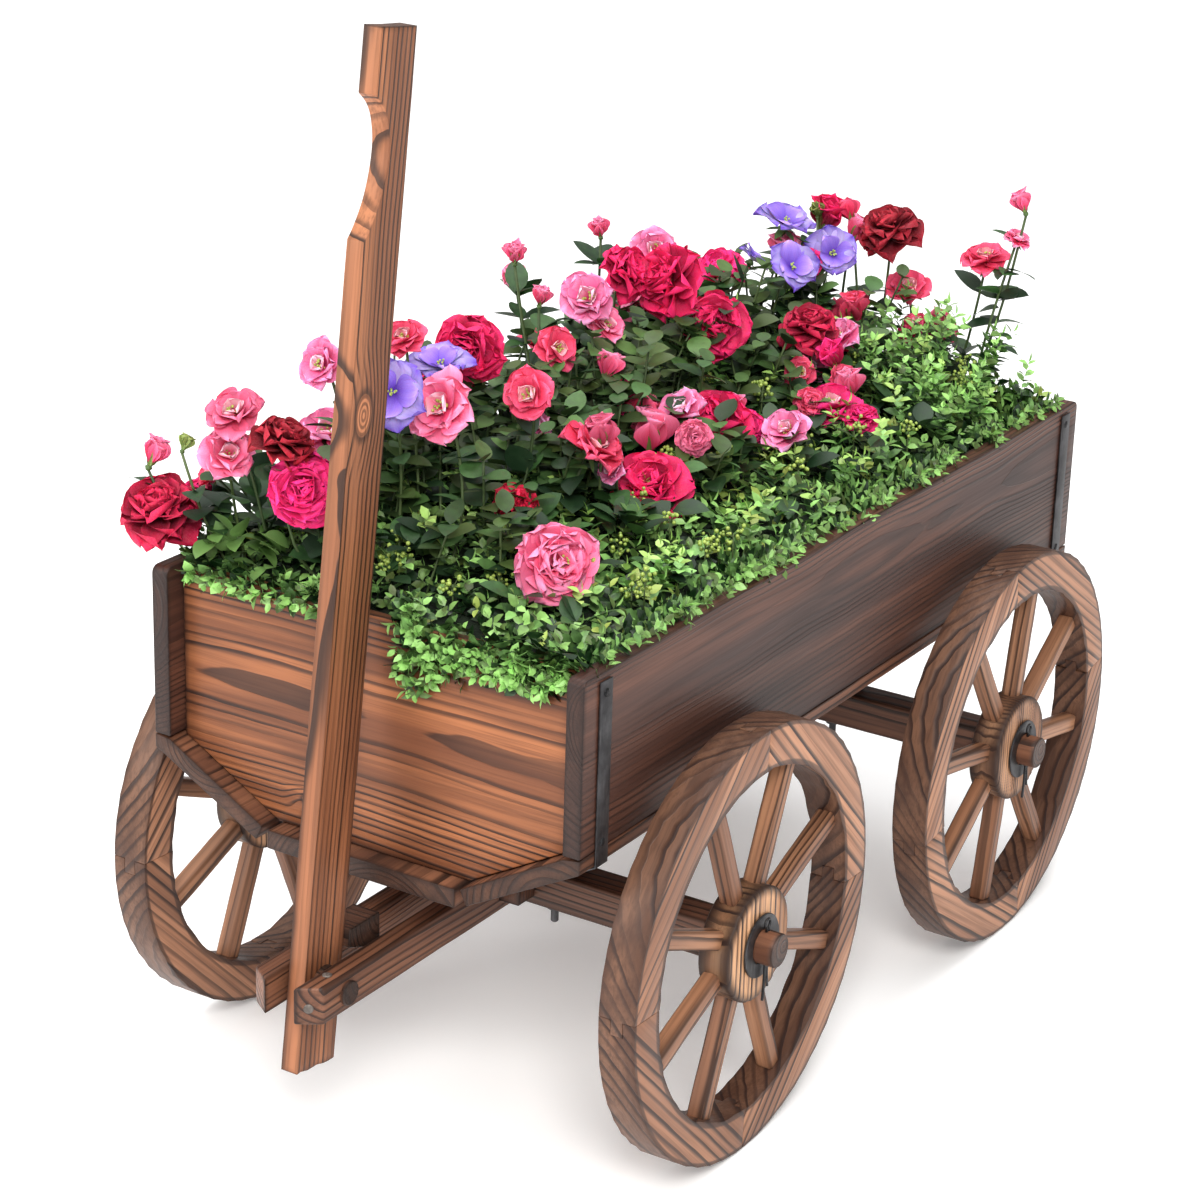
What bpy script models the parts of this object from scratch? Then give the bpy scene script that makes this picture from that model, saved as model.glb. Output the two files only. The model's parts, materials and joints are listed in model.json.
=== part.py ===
"""Wooden wagon planter: burnt-fir trough on four spoked wheels, with a
forked tongue, a pivoting pull handle and a lift-out planting.

Metres. +Z up, -Y is the handle end, +Y the rear, X runs along the axles.
Lengths below are measured from the front axle; once built, everything is
moved so that the origin lies on the ground under the middle of the length.
"""
import math
import random

import bmesh
import bpy
from mathutils import Matrix, Vector

# ---- driving dimensions -------------------------------------------------
WHEEL_D = 0.320
WHEEL_R = WHEEL_D / 2
RIM_INNER_R = 0.1277
RIM_OUT_X = 0.2200          # outer face of the rim
RIM_T = 0.0280
HUB_R = 0.0420
HUB_IN_X, HUB_OUT_X = 0.1970, 0.2230
HUB_EDGE = 0.0022
HUB_BORE_R = 0.01262
SPOKE_W = 0.0155
SPOKE_X = 0.2075
SPOKES = 8
FELLOES = 4
FINGER = math.radians(2.0)  # half length of a felloe's finger joint
FRONT_TURN = 0.0
REAR_TURN = math.radians(11.7)
WHEELBASE = 0.415
MIDDLE_Y = 0.1634           # middle of the whole length, from the front axle

GAP = 0.0003                # clearance left between neighbouring pieces
BOARD_T = 0.0139
TROUGH_X = 0.1763           # outer face of the side boards
TROUGH_Y0, TROUGH_Y1 = -0.1627, 0.5778
SIDE_Z0, SIDE_Z1 = 0.2738, 0.3987
FLOOR_Z0, FLOOR_Z1 = 0.2118, 0.2258
FLOOR_X = 0.0787
END_RECESS = 0.0160         # end boards sit this far inside the board ends
END_TOP_Z = 0.3955

BAND_T, BAND_W = 0.0012, 0.0145
BEAM_HALF = 0.0145
BEAM_Z0, BEAM_Z1 = 0.1445, 0.1735
BEAM_X = 0.1955
STUB_R, STUB_X = 0.0124, 0.2388
BOLT_R, BOLT_X = 0.0029, 0.0544
BOLT_Z0 = 0.1285
BOLSTER_X = 0.0750

WASHER_R, WASHER_BORE, WASHER_T = 0.0233, 0.0130, 0.0018
PIN_X, PIN_WIRE_R = 0.2282, 0.0010

ARM_X0, ARM_X1 = 0.0117, 0.0288
ARM_Z0, ARM_Z1 = 0.1420, 0.1695
ARM_FRONT_IN, ARM_FRONT_OUT = -0.2520, -0.2403
PIVOT = Vector((0.0, -0.2123, 0.1552))
PEG_R, PEG_HALF = 0.0088, 0.0312
SPACER_R = 0.0135
HANDLE_HALF = 0.0070
HANDLE_TILT = math.radians(7.29)
HANDLE_UP, HANDLE_DOWN = 0.6370, 0.0608
HANDLE_FOOT_D, HANDLE_TOP_D = 0.0415, 0.0385

BED_Z0, BED_Z1 = 0.3560, 0.3720
MOUND_WALL = 0.0060
MOUND_FRONT = -0.1300       # keeps the foliage behind the leaning handle


def clear_scene():
    for old in list(bpy.data.objects):
        bpy.data.objects.remove(old, do_unlink=True)


def material(name, color, roughness, metallic=0.0):
    mat = bpy.data.materials.get(name)
    if mat is None:
        mat = bpy.data.materials.new(name)
        mat.use_nodes = True
        shader = mat.node_tree.nodes["Principled BSDF"]
        shader.inputs["Base Color"].default_value = (*color, 1.0)
        shader.inputs["Roughness"].default_value = roughness
        shader.inputs["Metallic"].default_value = metallic
    return mat


WOOD_DARK = ("wood_side", (0.105, 0.058, 0.040), 0.62)
WOOD_WARM = ("wood_front", (0.270, 0.120, 0.066), 0.60)
WOOD_RIM = ("wood_rim", (0.190, 0.095, 0.058), 0.60)
WOOD_HUB = ("wood_hub", (0.360, 0.185, 0.110), 0.58)
WOOD_UNDER = ("wood_under", (0.110, 0.060, 0.040), 0.66)
STEEL = ("black_steel", (0.055, 0.052, 0.055), 0.42, 0.85)
LEAF = ("foliage", (0.060, 0.160, 0.030), 0.55)
BED = ("planting_bed", (0.050, 0.032, 0.020), 0.90)


def add_object(name, verts, faces, look, origin=(0, 0, 0)):
    """Make one mesh object; verts are world positions, origin its pivot."""
    origin = Vector(origin)
    mesh = bpy.data.meshes.new(name)
    mesh.from_pydata([tuple(Vector(v) - origin) for v in verts], [], faces)
    mesh.materials.append(material(*look))
    obj = bpy.data.objects.new(name, mesh)
    obj.location = origin
    bpy.context.scene.collection.objects.link(obj)
    bm = bmesh.new()
    bm.from_mesh(mesh)
    bmesh.ops.recalc_face_normals(bm, faces=bm.faces)
    bm.to_mesh(mesh)
    bm.free()
    return obj


def extruded(name, outline, axis, low, high, look, origin=(0, 0, 0)):
    """Extrude a closed 2D outline; axis 'X' takes (y, z), 'Y' (x, z), 'Z' (x, y)."""
    place = {"X": lambda p, t: (t, p[0], p[1]),
             "Y": lambda p, t: (p[0], t, p[1]),
             "Z": lambda p, t: (p[0], p[1], t)}[axis]
    n = len(outline)
    verts = [place(p, low) for p in outline] + [place(p, high) for p in outline]
    faces = [list(range(n)), list(range(2 * n - 1, n - 1, -1))]
    faces += [[i, (i + 1) % n, (i + 1) % n + n, i + n] for i in range(n)]
    return add_object(name, verts, faces, look, origin)


def bevel(obj, width, segments=1, angle=40.0):
    mod = obj.modifiers.new("edge", "BEVEL")
    mod.width = width
    mod.segments = segments
    mod.limit_method = "ANGLE"
    mod.angle_limit = math.radians(angle)
    mod.use_clamp_overlap = True
    return obj


def rect(x0, x1, y0, y1):
    return [(x0, y0), (x1, y0), (x1, y1), (x0, y1)]


def chamfered(x0, x1, y0, y1, cut):
    return [(x0 + cut, y0), (x1 - cut, y0), (x1, y0 + cut), (x1, y1 - cut),
            (x1 - cut, y1), (x0 + cut, y1), (x0, y1 - cut), (x0, y0 + cut)]


def ring_points(center, axis, radius, count):
    center, axis = Vector(center), Vector(axis).normalized()
    side = axis.orthogonal().normalized()
    up = axis.cross(side)
    return [center + radius * (math.cos(a) * side + math.sin(a) * up)
            for a in (2 * math.pi * i / count for i in range(count))]


def cylinder(name, p0, p1, radius, look, count=24):
    p0, p1 = Vector(p0), Vector(p1)
    axis = p1 - p0
    verts = ring_points(p0, axis, radius, count) + ring_points(p1, axis, radius, count)
    faces = [list(range(count)), list(range(2 * count - 1, count - 1, -1))]
    faces += [[i, (i + 1) % count, (i + 1) % count + count, i + count]
              for i in range(count)]
    return add_object(name, verts, faces, look)


def boolean(target, tool, operation):
    mod = target.modifiers.new(operation.lower(), "BOOLEAN")
    mod.operation = operation
    mod.solver = "EXACT"
    mod.object = tool
    tool.hide_render = True
    tool.display_type = "WIRE"
    return target


def bake(obj, helpers=()):
    """Apply the modifiers so that the object stands by itself."""
    graph = bpy.context.evaluated_depsgraph_get()
    graph.update()
    mesh = bpy.data.meshes.new_from_object(obj.evaluated_get(graph))
    obj.modifiers.clear()
    obj.data = mesh
    mesh.name = obj.name
    for helper in helpers:
        bpy.data.objects.remove(helper, do_unlink=True)
    return obj


def drill(obj, holes, count=16):
    """Cut round holes; each hole is (point, point, radius)."""
    tools = [cylinder(f"cut_{obj.name}_{i}", a, b, r, STEEL, count)
             for i, (a, b, r) in enumerate(holes)]
    for tool in tools:
        boolean(obj, tool, "DIFFERENCE")
    return bake(obj, tools)


def shade_round(obj, angle=35.0):
    for poly in obj.data.polygons:
        poly.use_smooth = True
    obj.data.set_sharp_from_angle(angle=math.radians(angle))
    return obj


def tube(name, path, radius, look, count=8):
    """Sweep a round section along a polyline with capped ends."""
    path = [Vector(p) for p in path]
    verts, faces = [], []
    side = None
    for i, point in enumerate(path):
        before, after = path[max(i - 1, 0)], path[min(i + 1, len(path) - 1)]
        tangent = (after - before).normalized()
        if side is None:
            side = Vector((1, 0, 0))
        side = (side - side.dot(tangent) * tangent).normalized()
        up = tangent.cross(side)
        verts += [point + radius * (math.cos(a) * side + math.sin(a) * up)
                  for a in (2 * math.pi * k / count for k in range(count))]
    for i in range(len(path) - 1):
        for k in range(count):
            a, b = i * count + k, i * count + (k + 1) % count
            faces.append([a, b, b + count, a + count])
    last = (len(path) - 1) * count
    faces += [list(range(count)), list(range(last + count - 1, last - 1, -1))]
    return shade_round(add_object(name, verts, faces, look))


# ---- trough -------------------------------------------------------------
BEVEL_PROFILE = [(0.0825, 0.2269), (0.0880, 0.2157), (TROUGH_X, 0.2634),
                 (TROUGH_X, 0.2735), (0.1632, 0.2717)]


def mirrored(outline, sign):
    return [(sign * x, z) for x, z in outline]


def build_trough():
    corner = 0.0060
    side = [(TROUGH_Y0, SIDE_Z0), (TROUGH_Y1, SIDE_Z0)]
    for center_y, start in ((TROUGH_Y1 - corner, 0.0), (TROUGH_Y0 + corner, 90.0)):
        for step in range(4):
            a = math.radians(start + 30.0 * step)
            side.append((center_y + corner * math.cos(a),
                         SIDE_Z1 - corner + corner * math.sin(a)))
    for sign, word in ((1, "right"), (-1, "left")):
        x = sorted((sign * TROUGH_X, sign * (TROUGH_X - BOARD_T)))
        bevel(extruded(f"{word}_side_board", side, "X", x[0], x[1], WOOD_DARK), 0.0010)
        bevel(extruded(f"{word}_bevel_board", mirrored(BEVEL_PROFILE, sign), "Y",
                       TROUGH_Y0, TROUGH_Y1, WOOD_DARK), 0.0008)
    floor = [(-FLOOR_X, FLOOR_Z1), (-FLOOR_X + 0.0021, FLOOR_Z0),
             (FLOOR_X - 0.0021, FLOOR_Z0), (FLOOR_X, FLOOR_Z1)]
    obj = extruded("floor_board", floor, "Y", TROUGH_Y0, TROUGH_Y1, WOOD_WARM)
    drill(obj, [((x, y, FLOOR_Z0 - 0.01), (x, y, FLOOR_Z1 + 0.01), BOLT_R + GAP)
                for x in (-BOLT_X, BOLT_X) for y in (0.0, WHEELBASE)], 10)

    inner_x = TROUGH_X - BOARD_T - GAP
    slope = (0.2717 - 0.2269) / (0.1632 - 0.0825)
    low_z = FLOOR_Z1 + GAP
    half = [(0.0800, low_z), (0.0823, 0.2273),
            (inner_x, 0.2273 + slope * (inner_x - 0.0823)), (inner_x, END_TOP_Z)]
    outline = half + [(-x, z) for x, z in reversed(half)]
    for name, y0 in (("front_end_board", TROUGH_Y0 + END_RECESS),
                     ("rear_end_board", TROUGH_Y1 - END_RECESS - BOARD_T)):
        bevel(extruded(name, outline, "Y", y0, y0 + BOARD_T, WOOD_WARM), 0.0007)


def build_bands():
    """Flat steel hoops around the outside of the trough, and a top strap."""
    out = TROUGH_X + GAP
    inner = [(out, SIDE_Z1 - 0.006), (out, 0.2632), (0.0883, 0.2153), (0.0768, 0.2114)]
    outer = [(out + BAND_T, SIDE_Z1 - 0.006), (out + BAND_T, 0.2625),
             (0.0888, 0.2141), (0.0770, 0.2102)]
    inner += [(-x, z) for x, z in reversed(inner)]
    outer += [(-x, z) for x, z in reversed(outer)]
    outline = inner + list(reversed(outer))
    n, m = len(inner), len(outline)
    centers = {"front": TROUGH_Y0 + END_RECESS + BOARD_T / 2 + 0.0020,
               "rear": TROUGH_Y1 - END_RECESS - BOARD_T / 2 - 0.0010}
    for word, yc in centers.items():
        verts = [(x, y, z) for y in (yc - BAND_W / 2, yc + BAND_W / 2) for x, z in outline]
        faces = [[i, (i + 1) % m, (i + 1) % m + m, i + m] for i in range(m)]
        for i in range(n - 1):
            quad = [i, i + 1, m - 2 - i, m - 1 - i]
            faces += [quad, [v + m for v in reversed(quad)]]
        add_object(f"{word}_hoop_band", verts, faces, STEEL)
    reach, yc = TROUGH_X - BOARD_T - 2 * GAP, centers["rear"]
    extruded("rear_top_strap", rect(-reach, reach, yc - 0.0066, yc + 0.0066), "Z",
             END_TOP_Z + GAP, END_TOP_Z + GAP + BAND_T, STEEL)


# ---- running gear -------------------------------------------------------
def build_axle(word, y):
    section = chamfered(y - BEAM_HALF, y + BEAM_HALF, BEAM_Z0, BEAM_Z1, 0.0020)
    beam = extruded(f"{word}_axle_beam", section, "X", -BEAM_X, BEAM_X, WOOD_UNDER)
    stub = cylinder(f"stub_{word}", (-STUB_X, y, WHEEL_R), (STUB_X, y, WHEEL_R),
                    STUB_R, WOOD_UNDER, 24)
    boolean(beam, stub, "UNION")
    bake(beam, [stub])
    holes = [((x, y, BEAM_Z0 - 0.01), (x, y, BEAM_Z1 + 0.01), BOLT_R + GAP)
             for x in (-BOLT_X, BOLT_X)]
    holes += [((x, y, WHEEL_R - 0.03), (x, y, WHEEL_R + 0.03), 0.0028)
              for x in (-PIN_X, PIN_X)]
    shade_round(drill(beam, holes, 10))

    section = chamfered(-BOLSTER_X, BOLSTER_X, y - BEAM_HALF, y + BEAM_HALF, 0.0015)
    block = extruded(f"{word}_bolster", section, "Z", BEAM_Z1 + GAP, FLOOR_Z0 - GAP, WOOD_UNDER)
    drill(block, [((x, y, BEAM_Z1 - 0.01), (x, y, FLOOR_Z0 + 0.01), BOLT_R + GAP)
                  for x in (-BOLT_X, BOLT_X)], 10)


def build_bolts():
    """Carriage bolts from the trough floor down to a nut under each beam."""
    nut_top = BEAM_Z0 - GAP
    profile = [(0.0, BOLT_Z0), (0.0019, BOLT_Z0), (BOLT_R, BOLT_Z0 + 0.001),
               (BOLT_R, nut_top - 0.0048), (0.0058, nut_top - 0.0045),
               (0.0058, nut_top), (BOLT_R, nut_top), (BOLT_R, FLOOR_Z1 + GAP),
               (0.0070, FLOOR_Z1 + GAP), (0.0062, FLOOR_Z1 + 0.0022),
               (0.0035, FLOOR_Z1 + 0.0032), (0.0, FLOOR_Z1 + 0.0035)]
    for word, y in (("front", 0.0), ("rear", WHEELBASE)):
        for sign, side in ((1, "right"), (-1, "left")):
            shade_round(lathe(f"{word}_{side}_bolt_and_nut", (sign * BOLT_X, y),
                              profile, STEEL, 12))


def lathe(name, center, profile, look, count):
    """Revolve a (radius, z) profile about a vertical line."""
    verts, faces, rings = [], [], []
    for r, z in profile:
        size = 1 if r == 0.0 else count
        rings.append(list(range(len(verts), len(verts) + size)))
        verts += [(center[0] + r * math.cos(2 * math.pi * k / count),
                   center[1] + r * math.sin(2 * math.pi * k / count), z) for k in range(size)]
    for low, high in zip(rings, rings[1:]):
        for k in range(count):
            j = (k + 1) % count
            quad = [low[k % len(low)], low[j % len(low)],
                    high[j % len(high)], high[k % len(high)]]
            faces.append(list(dict.fromkeys(quad)))
    return add_object(name, verts, faces, look)


def ring_about_x(name, profile, sign, y, z, look, count):
    """Revolve a closed (radius, x) profile about a line along X."""
    n = len(profile)
    verts = [(sign * x, y + r * math.cos(2 * math.pi * k / count),
              z + r * math.sin(2 * math.pi * k / count))
             for r, x in profile for k in range(count)]
    faces = [[i * count + k, i * count + (k + 1) % count,
              (i + 1) % n * count + (k + 1) % count, (i + 1) % n * count + k]
             for i in range(n) for k in range(count)]
    return add_object(name, verts, faces, look)


def cells_to_mesh(angles, radii, xs, filled):
    """Boundary of the filled cells of an (angle, radius, x) grid."""
    verts, index, faces = [], {}, []

    def vert(i, j, k):
        if (i, j, k) not in index:
            index[i, j, k] = len(verts)
            verts.append((xs[k], radii[j] * math.cos(angles[i]), radii[j] * math.sin(angles[i])))
        return index[i, j, k]

    sides = [((1, 0, 0), [(1, 0, 0), (1, 1, 0), (1, 1, 1), (1, 0, 1)]),
             ((-1, 0, 0), [(0, 0, 0), (0, 0, 1), (0, 1, 1), (0, 1, 0)]),
             ((0, 1, 0), [(0, 1, 0), (0, 1, 1), (1, 1, 1), (1, 1, 0)]),
             ((0, -1, 0), [(0, 0, 0), (1, 0, 0), (1, 0, 1), (0, 0, 1)]),
             ((0, 0, 1), [(0, 0, 1), (1, 0, 1), (1, 1, 1), (0, 1, 1)]),
             ((0, 0, -1), [(0, 0, 0), (0, 1, 0), (1, 1, 0), (1, 0, 0)])]
    for (i, j, k) in filled:
        for step, corners in sides:
            if (i + step[0], j + step[1], k + step[2]) not in filled:
                faces.append([vert(i + a, j + b, k + c) for a, b, c in corners])
    return verts, faces


def felloe_mesh():
    """A quarter of the rim, with three-way finger joints at its two ends.

    The middle finger starts late and ends late; the two outer ones start
    and end early, so that neighbours interlock.
    """
    slack = 0.00015
    turn = slack / WHEEL_R * 1.15
    quarter = 2 * math.pi / FELLOES
    third = RIM_T / 3
    xs = [0.0, third - slack, third + slack, 2 * third - slack, 2 * third + slack, RIM_T]
    steps = 8
    angles = [-FINGER + turn, FINGER + turn]
    angles += [FINGER + (quarter - 2 * FINGER) * s / steps for s in range(1, steps)]
    angles += [quarter - FINGER - turn, quarter + FINGER - turn]
    last = len(angles) - 2
    filled = set()
    for i in range(last + 1):
        for k in range(5):
            if i == 0 and k not in (0, 4):
                continue
            if i == last and k != 2:
                continue
            filled.add((i, 0, k))
    verts, faces = cells_to_mesh(angles, [RIM_INNER_R, WHEEL_R], xs, filled)
    bm = bmesh.new()
    made = [bm.verts.new(v) for v in verts]
    for face in faces:
        bm.faces.new([made[v] for v in face])
    bmesh.ops.dissolve_limit(bm, angle_limit=math.radians(0.5), verts=bm.verts, edges=bm.edges)
    spare = [v for v in bm.verts if len(v.link_edges) == 2]
    bmesh.ops.dissolve_verts(bm, verts=spare)
    bmesh.ops.recalc_face_normals(bm, faces=bm.faces)
    bm.verts.index_update()
    verts = [v.co.copy() for v in bm.verts]
    faces = [[v.index for v in f.verts] for f in bm.faces]
    bm.free()
    return verts, faces


def hub_mesh():
    """Turned hub with eight square spokes and a bore, wheel axis along X."""
    profile = [(HUB_BORE_R, HUB_IN_X), (HUB_R - HUB_EDGE, HUB_IN_X),
               (HUB_R, HUB_IN_X + HUB_EDGE), (HUB_R, HUB_OUT_X - HUB_EDGE),
               (HUB_R - HUB_EDGE, HUB_OUT_X), (HUB_BORE_R, HUB_OUT_X)]
    count = 24
    verts = [(x, r * math.cos(2 * math.pi * k / count), r * math.sin(2 * math.pi * k / count))
             for r, x in profile for k in range(count)]
    faces = []
    for i in range(len(profile)):
        j = (i + 1) % len(profile)
        for k in range(count):
            m = (k + 1) % count
            faces.append([i * count + k, i * count + m, j * count + m, j * count + k])
    hub = add_object("hub_master", verts, faces, WOOD_HUB)
    reach = RIM_INNER_R * math.cos(math.radians(5.6)) - 0.0004
    tools = []
    for s in range(SPOKES):
        turn = Matrix.Rotation(2 * math.pi * (s + 0.5) / SPOKES, 4, "X")
        half = SPOKE_W / 2
        section = chamfered(-half, half, -half, half, 0.0020)
        tool = extruded(f"spoke_{s}", section, "Y", HUB_R - 0.006, reach, WOOD_HUB)
        tool.data.transform(turn @ Matrix.Translation((SPOKE_X, 0, 0)))
        tools.append(tool)
    for tool in tools:
        boolean(hub, tool, "UNION")
    bake(hub, tools)
    verts = [v.co.copy() for v in hub.data.vertices]
    faces = [list(p.vertices) for p in hub.data.polygons]
    bpy.data.objects.remove(hub, do_unlink=True)
    return verts, faces


def build_wheels():
    felloe, hub = felloe_mesh(), hub_mesh()
    for word, y, phase in (("front", 0.0, FRONT_TURN), ("rear", WHEELBASE, REAR_TURN)):
        for sign, side in ((1, "right"), (-1, "left")):
            name = f"{word}_{side}"
            center = Vector((0.0, y, WHEEL_R))
            pivot = Vector((sign * SPOKE_X, y, WHEEL_R))
            turn = phase if sign > 0 else -phase * 0.5

            def place(v, angle, shift):
                p = Matrix.Rotation(angle, 4, "X") @ Vector((v[0] + shift, v[1], v[2]))
                return center + Vector((sign * p.x, p.y, p.z))

            verts = [place(v, turn, 0.0) for v in hub[0]]
            shade_round(add_object(f"{name}_hub_and_spokes", verts, hub[1], WOOD_HUB, pivot))
            for q in range(FELLOES):
                angle = turn + 2 * math.pi * q / FELLOES
                verts = [place(v, angle, RIM_OUT_X - RIM_T) for v in felloe[0]]
                obj = add_object(f"{name}_felloe_{q + 1}", verts, felloe[1], WOOD_RIM, pivot)
                shade_round(obj, 20.0)
            build_axle_end(name, sign, y)


def build_axle_end(name, sign, y):
    """Washer and split pin that keep a wheel on its stub."""
    x0 = HUB_OUT_X + GAP
    rings = [(WASHER_BORE, x0), (WASHER_R, x0), (WASHER_R, x0 + WASHER_T),
             (WASHER_BORE, x0 + WASHER_T)]
    shade_round(ring_about_x(f"{name}_washer", rings, sign, y, WHEEL_R, STEEL, 24))

    leg, eye, px = 0.0013, 0.0034, sign * PIN_X
    top = WHEEL_R + STUB_R + 0.0016
    path = [(px, y - leg - 0.0012, WHEEL_R - 0.0400), (px, y - leg, WHEEL_R - 0.0160),
            (px, y - leg, top)]
    for step in range(8):
        a = math.radians(232.0 - 40.5 * step)
        path.append((px, y + eye * math.cos(a), top + 0.0042 + eye * math.sin(a)))
    path += [(px, y + leg, top), (px, y + leg, WHEEL_R - 0.0160),
             (px, y + leg + 0.0012, WHEEL_R - 0.0310)]
    tube(f"{name}_split_pin", path, PIN_WIRE_R, STEEL, 6)


# ---- tongue and handle --------------------------------------------------
def build_tongue():
    rear = -BEAM_HALF - GAP
    for sign, word in ((1, "right"), (-1, "left")):
        outline = [(sign * ARM_X0, ARM_FRONT_IN), (sign * ARM_X1, ARM_FRONT_OUT),
                   (sign * ARM_X1, rear), (sign * ARM_X0, rear)]
        arm = extruded(f"{word}_tongue_arm", outline, "Z", ARM_Z0, ARM_Z1, WOOD_UNDER)
        bevel(arm, 0.0016)
        drill(arm, [((0.0, PIVOT.y, PIVOT.z), (sign * 0.04, PIVOT.y, PIVOT.z), PEG_R + GAP)], 24)
        block = rect(ARM_X1 + GAP, ARM_X1 + 0.0180, rear - 0.0210, rear)
        bevel(extruded(f"{word}_corner_block", [(sign * x, y) for x, y in block], "Z",
                       0.1520, 0.1690, WOOD_UNDER), 0.0008)
        near, far = HANDLE_HALF + GAP, ARM_X0 - GAP
        ring = [(PEG_R + GAP, near), (SPACER_R, near), (SPACER_R, far), (PEG_R + GAP, far)]
        shade_round(ring_about_x(f"{word}_pivot_spacer", ring, sign, PIVOT.y, PIVOT.z,
                                 WOOD_UNDER, 24))
    shade_round(cylinder("pivot_peg", (-PEG_HALF, PIVOT.y, PIVOT.z),
                         (PEG_HALF, PIVOT.y, PIVOT.z), PEG_R, WOOD_WARM, 24))
    half = ARM_X0 - GAP
    z0, z_cut, z1 = 0.1665, 0.1730, 0.1860     # cut away below for the foot's swing
    rest_y = PIVOT.y + HANDLE_FOOT_D / 2 / math.cos(HANDLE_TILT) + GAP
    low, high = (rest_y + math.tan(HANDLE_TILT) * (z - PIVOT.z) for z in (z_cut, z1))
    stop = [(low, z_cut), (PIVOT.y + 0.0410, z0), (high + 0.0340, z0),
            (high + 0.0340, z1), (high, z1)]
    bevel(extruded("stop_block", stop, "X", -half, half, WOOD_UNDER), 0.0006)


def handle_outline():
    """Handle profile as (along, across); across 0 is the rear edge."""
    def depth(s):
        share = (s + HANDLE_DOWN) / (HANDLE_UP + HANDLE_DOWN)
        return HANDLE_FOOT_D + (HANDLE_TOP_D - HANDLE_FOOT_D) * share

    foot_half = HANDLE_FOOT_D / 2
    notch = [(0.5030, 0.0), (0.5110, 0.0055), (0.5250, 0.0125), (0.5400, 0.0168),
             (0.5540, 0.0186), (0.5670, 0.0180), (0.5800, 0.0140), (0.5880, 0.0085),
             (0.5930, 0.0020), (0.5945, 0.0)]
    front = [(-HANDLE_DOWN, -foot_half)]
    for s, cut in notch:
        front.append((s, -depth(s) + foot_half + cut))
    front.append((HANDLE_UP, -depth(HANDLE_UP) + foot_half))
    return front + [(HANDLE_UP, foot_half), (-HANDLE_DOWN, foot_half)]


def build_handle():
    up = Vector((0, math.sin(HANDLE_TILT), math.cos(HANDLE_TILT)))
    back = Vector((0, math.cos(HANDLE_TILT), -math.sin(HANDLE_TILT)))
    outline = []
    for s, across in handle_outline():
        p = PIVOT + s * up + across * back
        outline.append((p.y, p.z))
    handle = extruded("pull_handle", outline, "X", -HANDLE_HALF, HANDLE_HALF,
                      WOOD_WARM, PIVOT)
    bevel(handle, 0.0011, angle=50.0)
    drill(handle, [((-0.03, PIVOT.y, PIVOT.z), (0.03, PIVOT.y, PIVOT.z), PEG_R + 0.00022)], 24)


# ---- planting -----------------------------------------------------------
def build_planting():
    clear = 0.0012
    x = TROUGH_X - BOARD_T - clear
    y0 = TROUGH_Y0 + END_RECESS + BOARD_T + clear
    y1 = TROUGH_Y1 - END_RECESS - BOARD_T - clear
    bevel(extruded("planting_bed", rect(-x, x, y0, y1), "Z", BED_Z0, BED_Z1, BED), 0.0020)
    build_mound(x, y0, y1)


def mound_ring(x, y0, y1, grow, count):
    """Rounded rectangle with the front edge pulled in behind the handle."""
    hx, hy = x + grow, (y1 - y0) / 2 + grow
    yc = (y0 + y1) / 2
    points = []
    for i in range(count):
        a = 2 * math.pi * (i + 0.5) / count
        c, s = math.cos(a), math.sin(a)
        scale = (abs(c / hx) ** 6 + abs(s / hy) ** 6) ** (-1 / 6)
        px, py = c * scale, yc + s * scale
        points.append((px, max(py, MOUND_FRONT)))
    return points


def build_mound(x, y0, y1):
    """Foliage canopy as a lumpy shell, open underneath where the bed is."""
    rng = random.Random(11)
    count = 36
    z_low, z_rim = BED_Z1 + 0.0004, SIDE_Z1 + 0.0010
    levels = [(-0.0003, z_low), (-0.0003, z_rim), (0.0140, z_rim + 0.0006),
              (0.0150, z_rim + 0.0130), (0.0060, z_rim + 0.0330), (-0.0150, z_rim + 0.0540),
              (-0.0420, z_rim + 0.0720), (-0.0800, z_rim + 0.0850), (-0.1200, z_rim + 0.0920)]
    rings = []
    for n, (grow, z) in enumerate(levels):
        ring = []
        for px, py in mound_ring(x, y0, y1, grow, count):
            lump = rng.uniform(-0.0045, 0.0045) if n > 2 else 0.0
            rise = 0.010 * math.sin(py * 13.0 + 0.6) if n > 4 else 0.0
            ring.append(Vector((px * (1 + 0.2 * lump), py, z + lump + rise)))
        rings.append(ring)
    inner = []
    for n, (grow, z) in enumerate(levels):
        if n == 2:
            continue            # the overhanging lip has no inner ring of its own
        z_in = (z, z - 0.0010)[n] if n < 2 else z - MOUND_WALL - 0.0045
        ring = []
        for px, py in mound_ring(x, y0, y1, grow - MOUND_WALL - 0.0015 * (n > 1), count):
            rise = 0.010 * math.sin(py * 13.0 + 0.6) if n > 4 else 0.0
            ring.append(Vector((px, py, z_in + rise)))
        if n == 3:
            ring = [Vector((p.x, p.y, max(p.z, z_rim + 0.0052))) for p in ring]
        inner.append(ring)
    verts, faces = [], []
    for ring in rings + inner:
        verts += ring
    for stack, base in ((rings, 0), (inner, len(rings) * count)):
        for n in range(len(stack) - 1):
            for k in range(count):
                a, b = base + n * count + k, base + n * count + (k + 1) % count
                faces.append([a, b, b + count, a + count])
    inner_base = len(rings) * count
    for k in range(count):
        j = (k + 1) % count
        faces.append([k, j, inner_base + j, inner_base + k])
    for stack, base in ((rings, 0), (inner, inner_base)):
        top = base + (len(stack) - 1) * count
        middle = Vector((0, 0, 0))
        for p in stack[-1]:
            middle += p / count
        verts.append(middle)
        faces += [[top + k, top + (k + 1) % count, len(verts) - 1] for k in range(count)]
    add_object("foliage_mound", verts, faces, LEAF)


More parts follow.
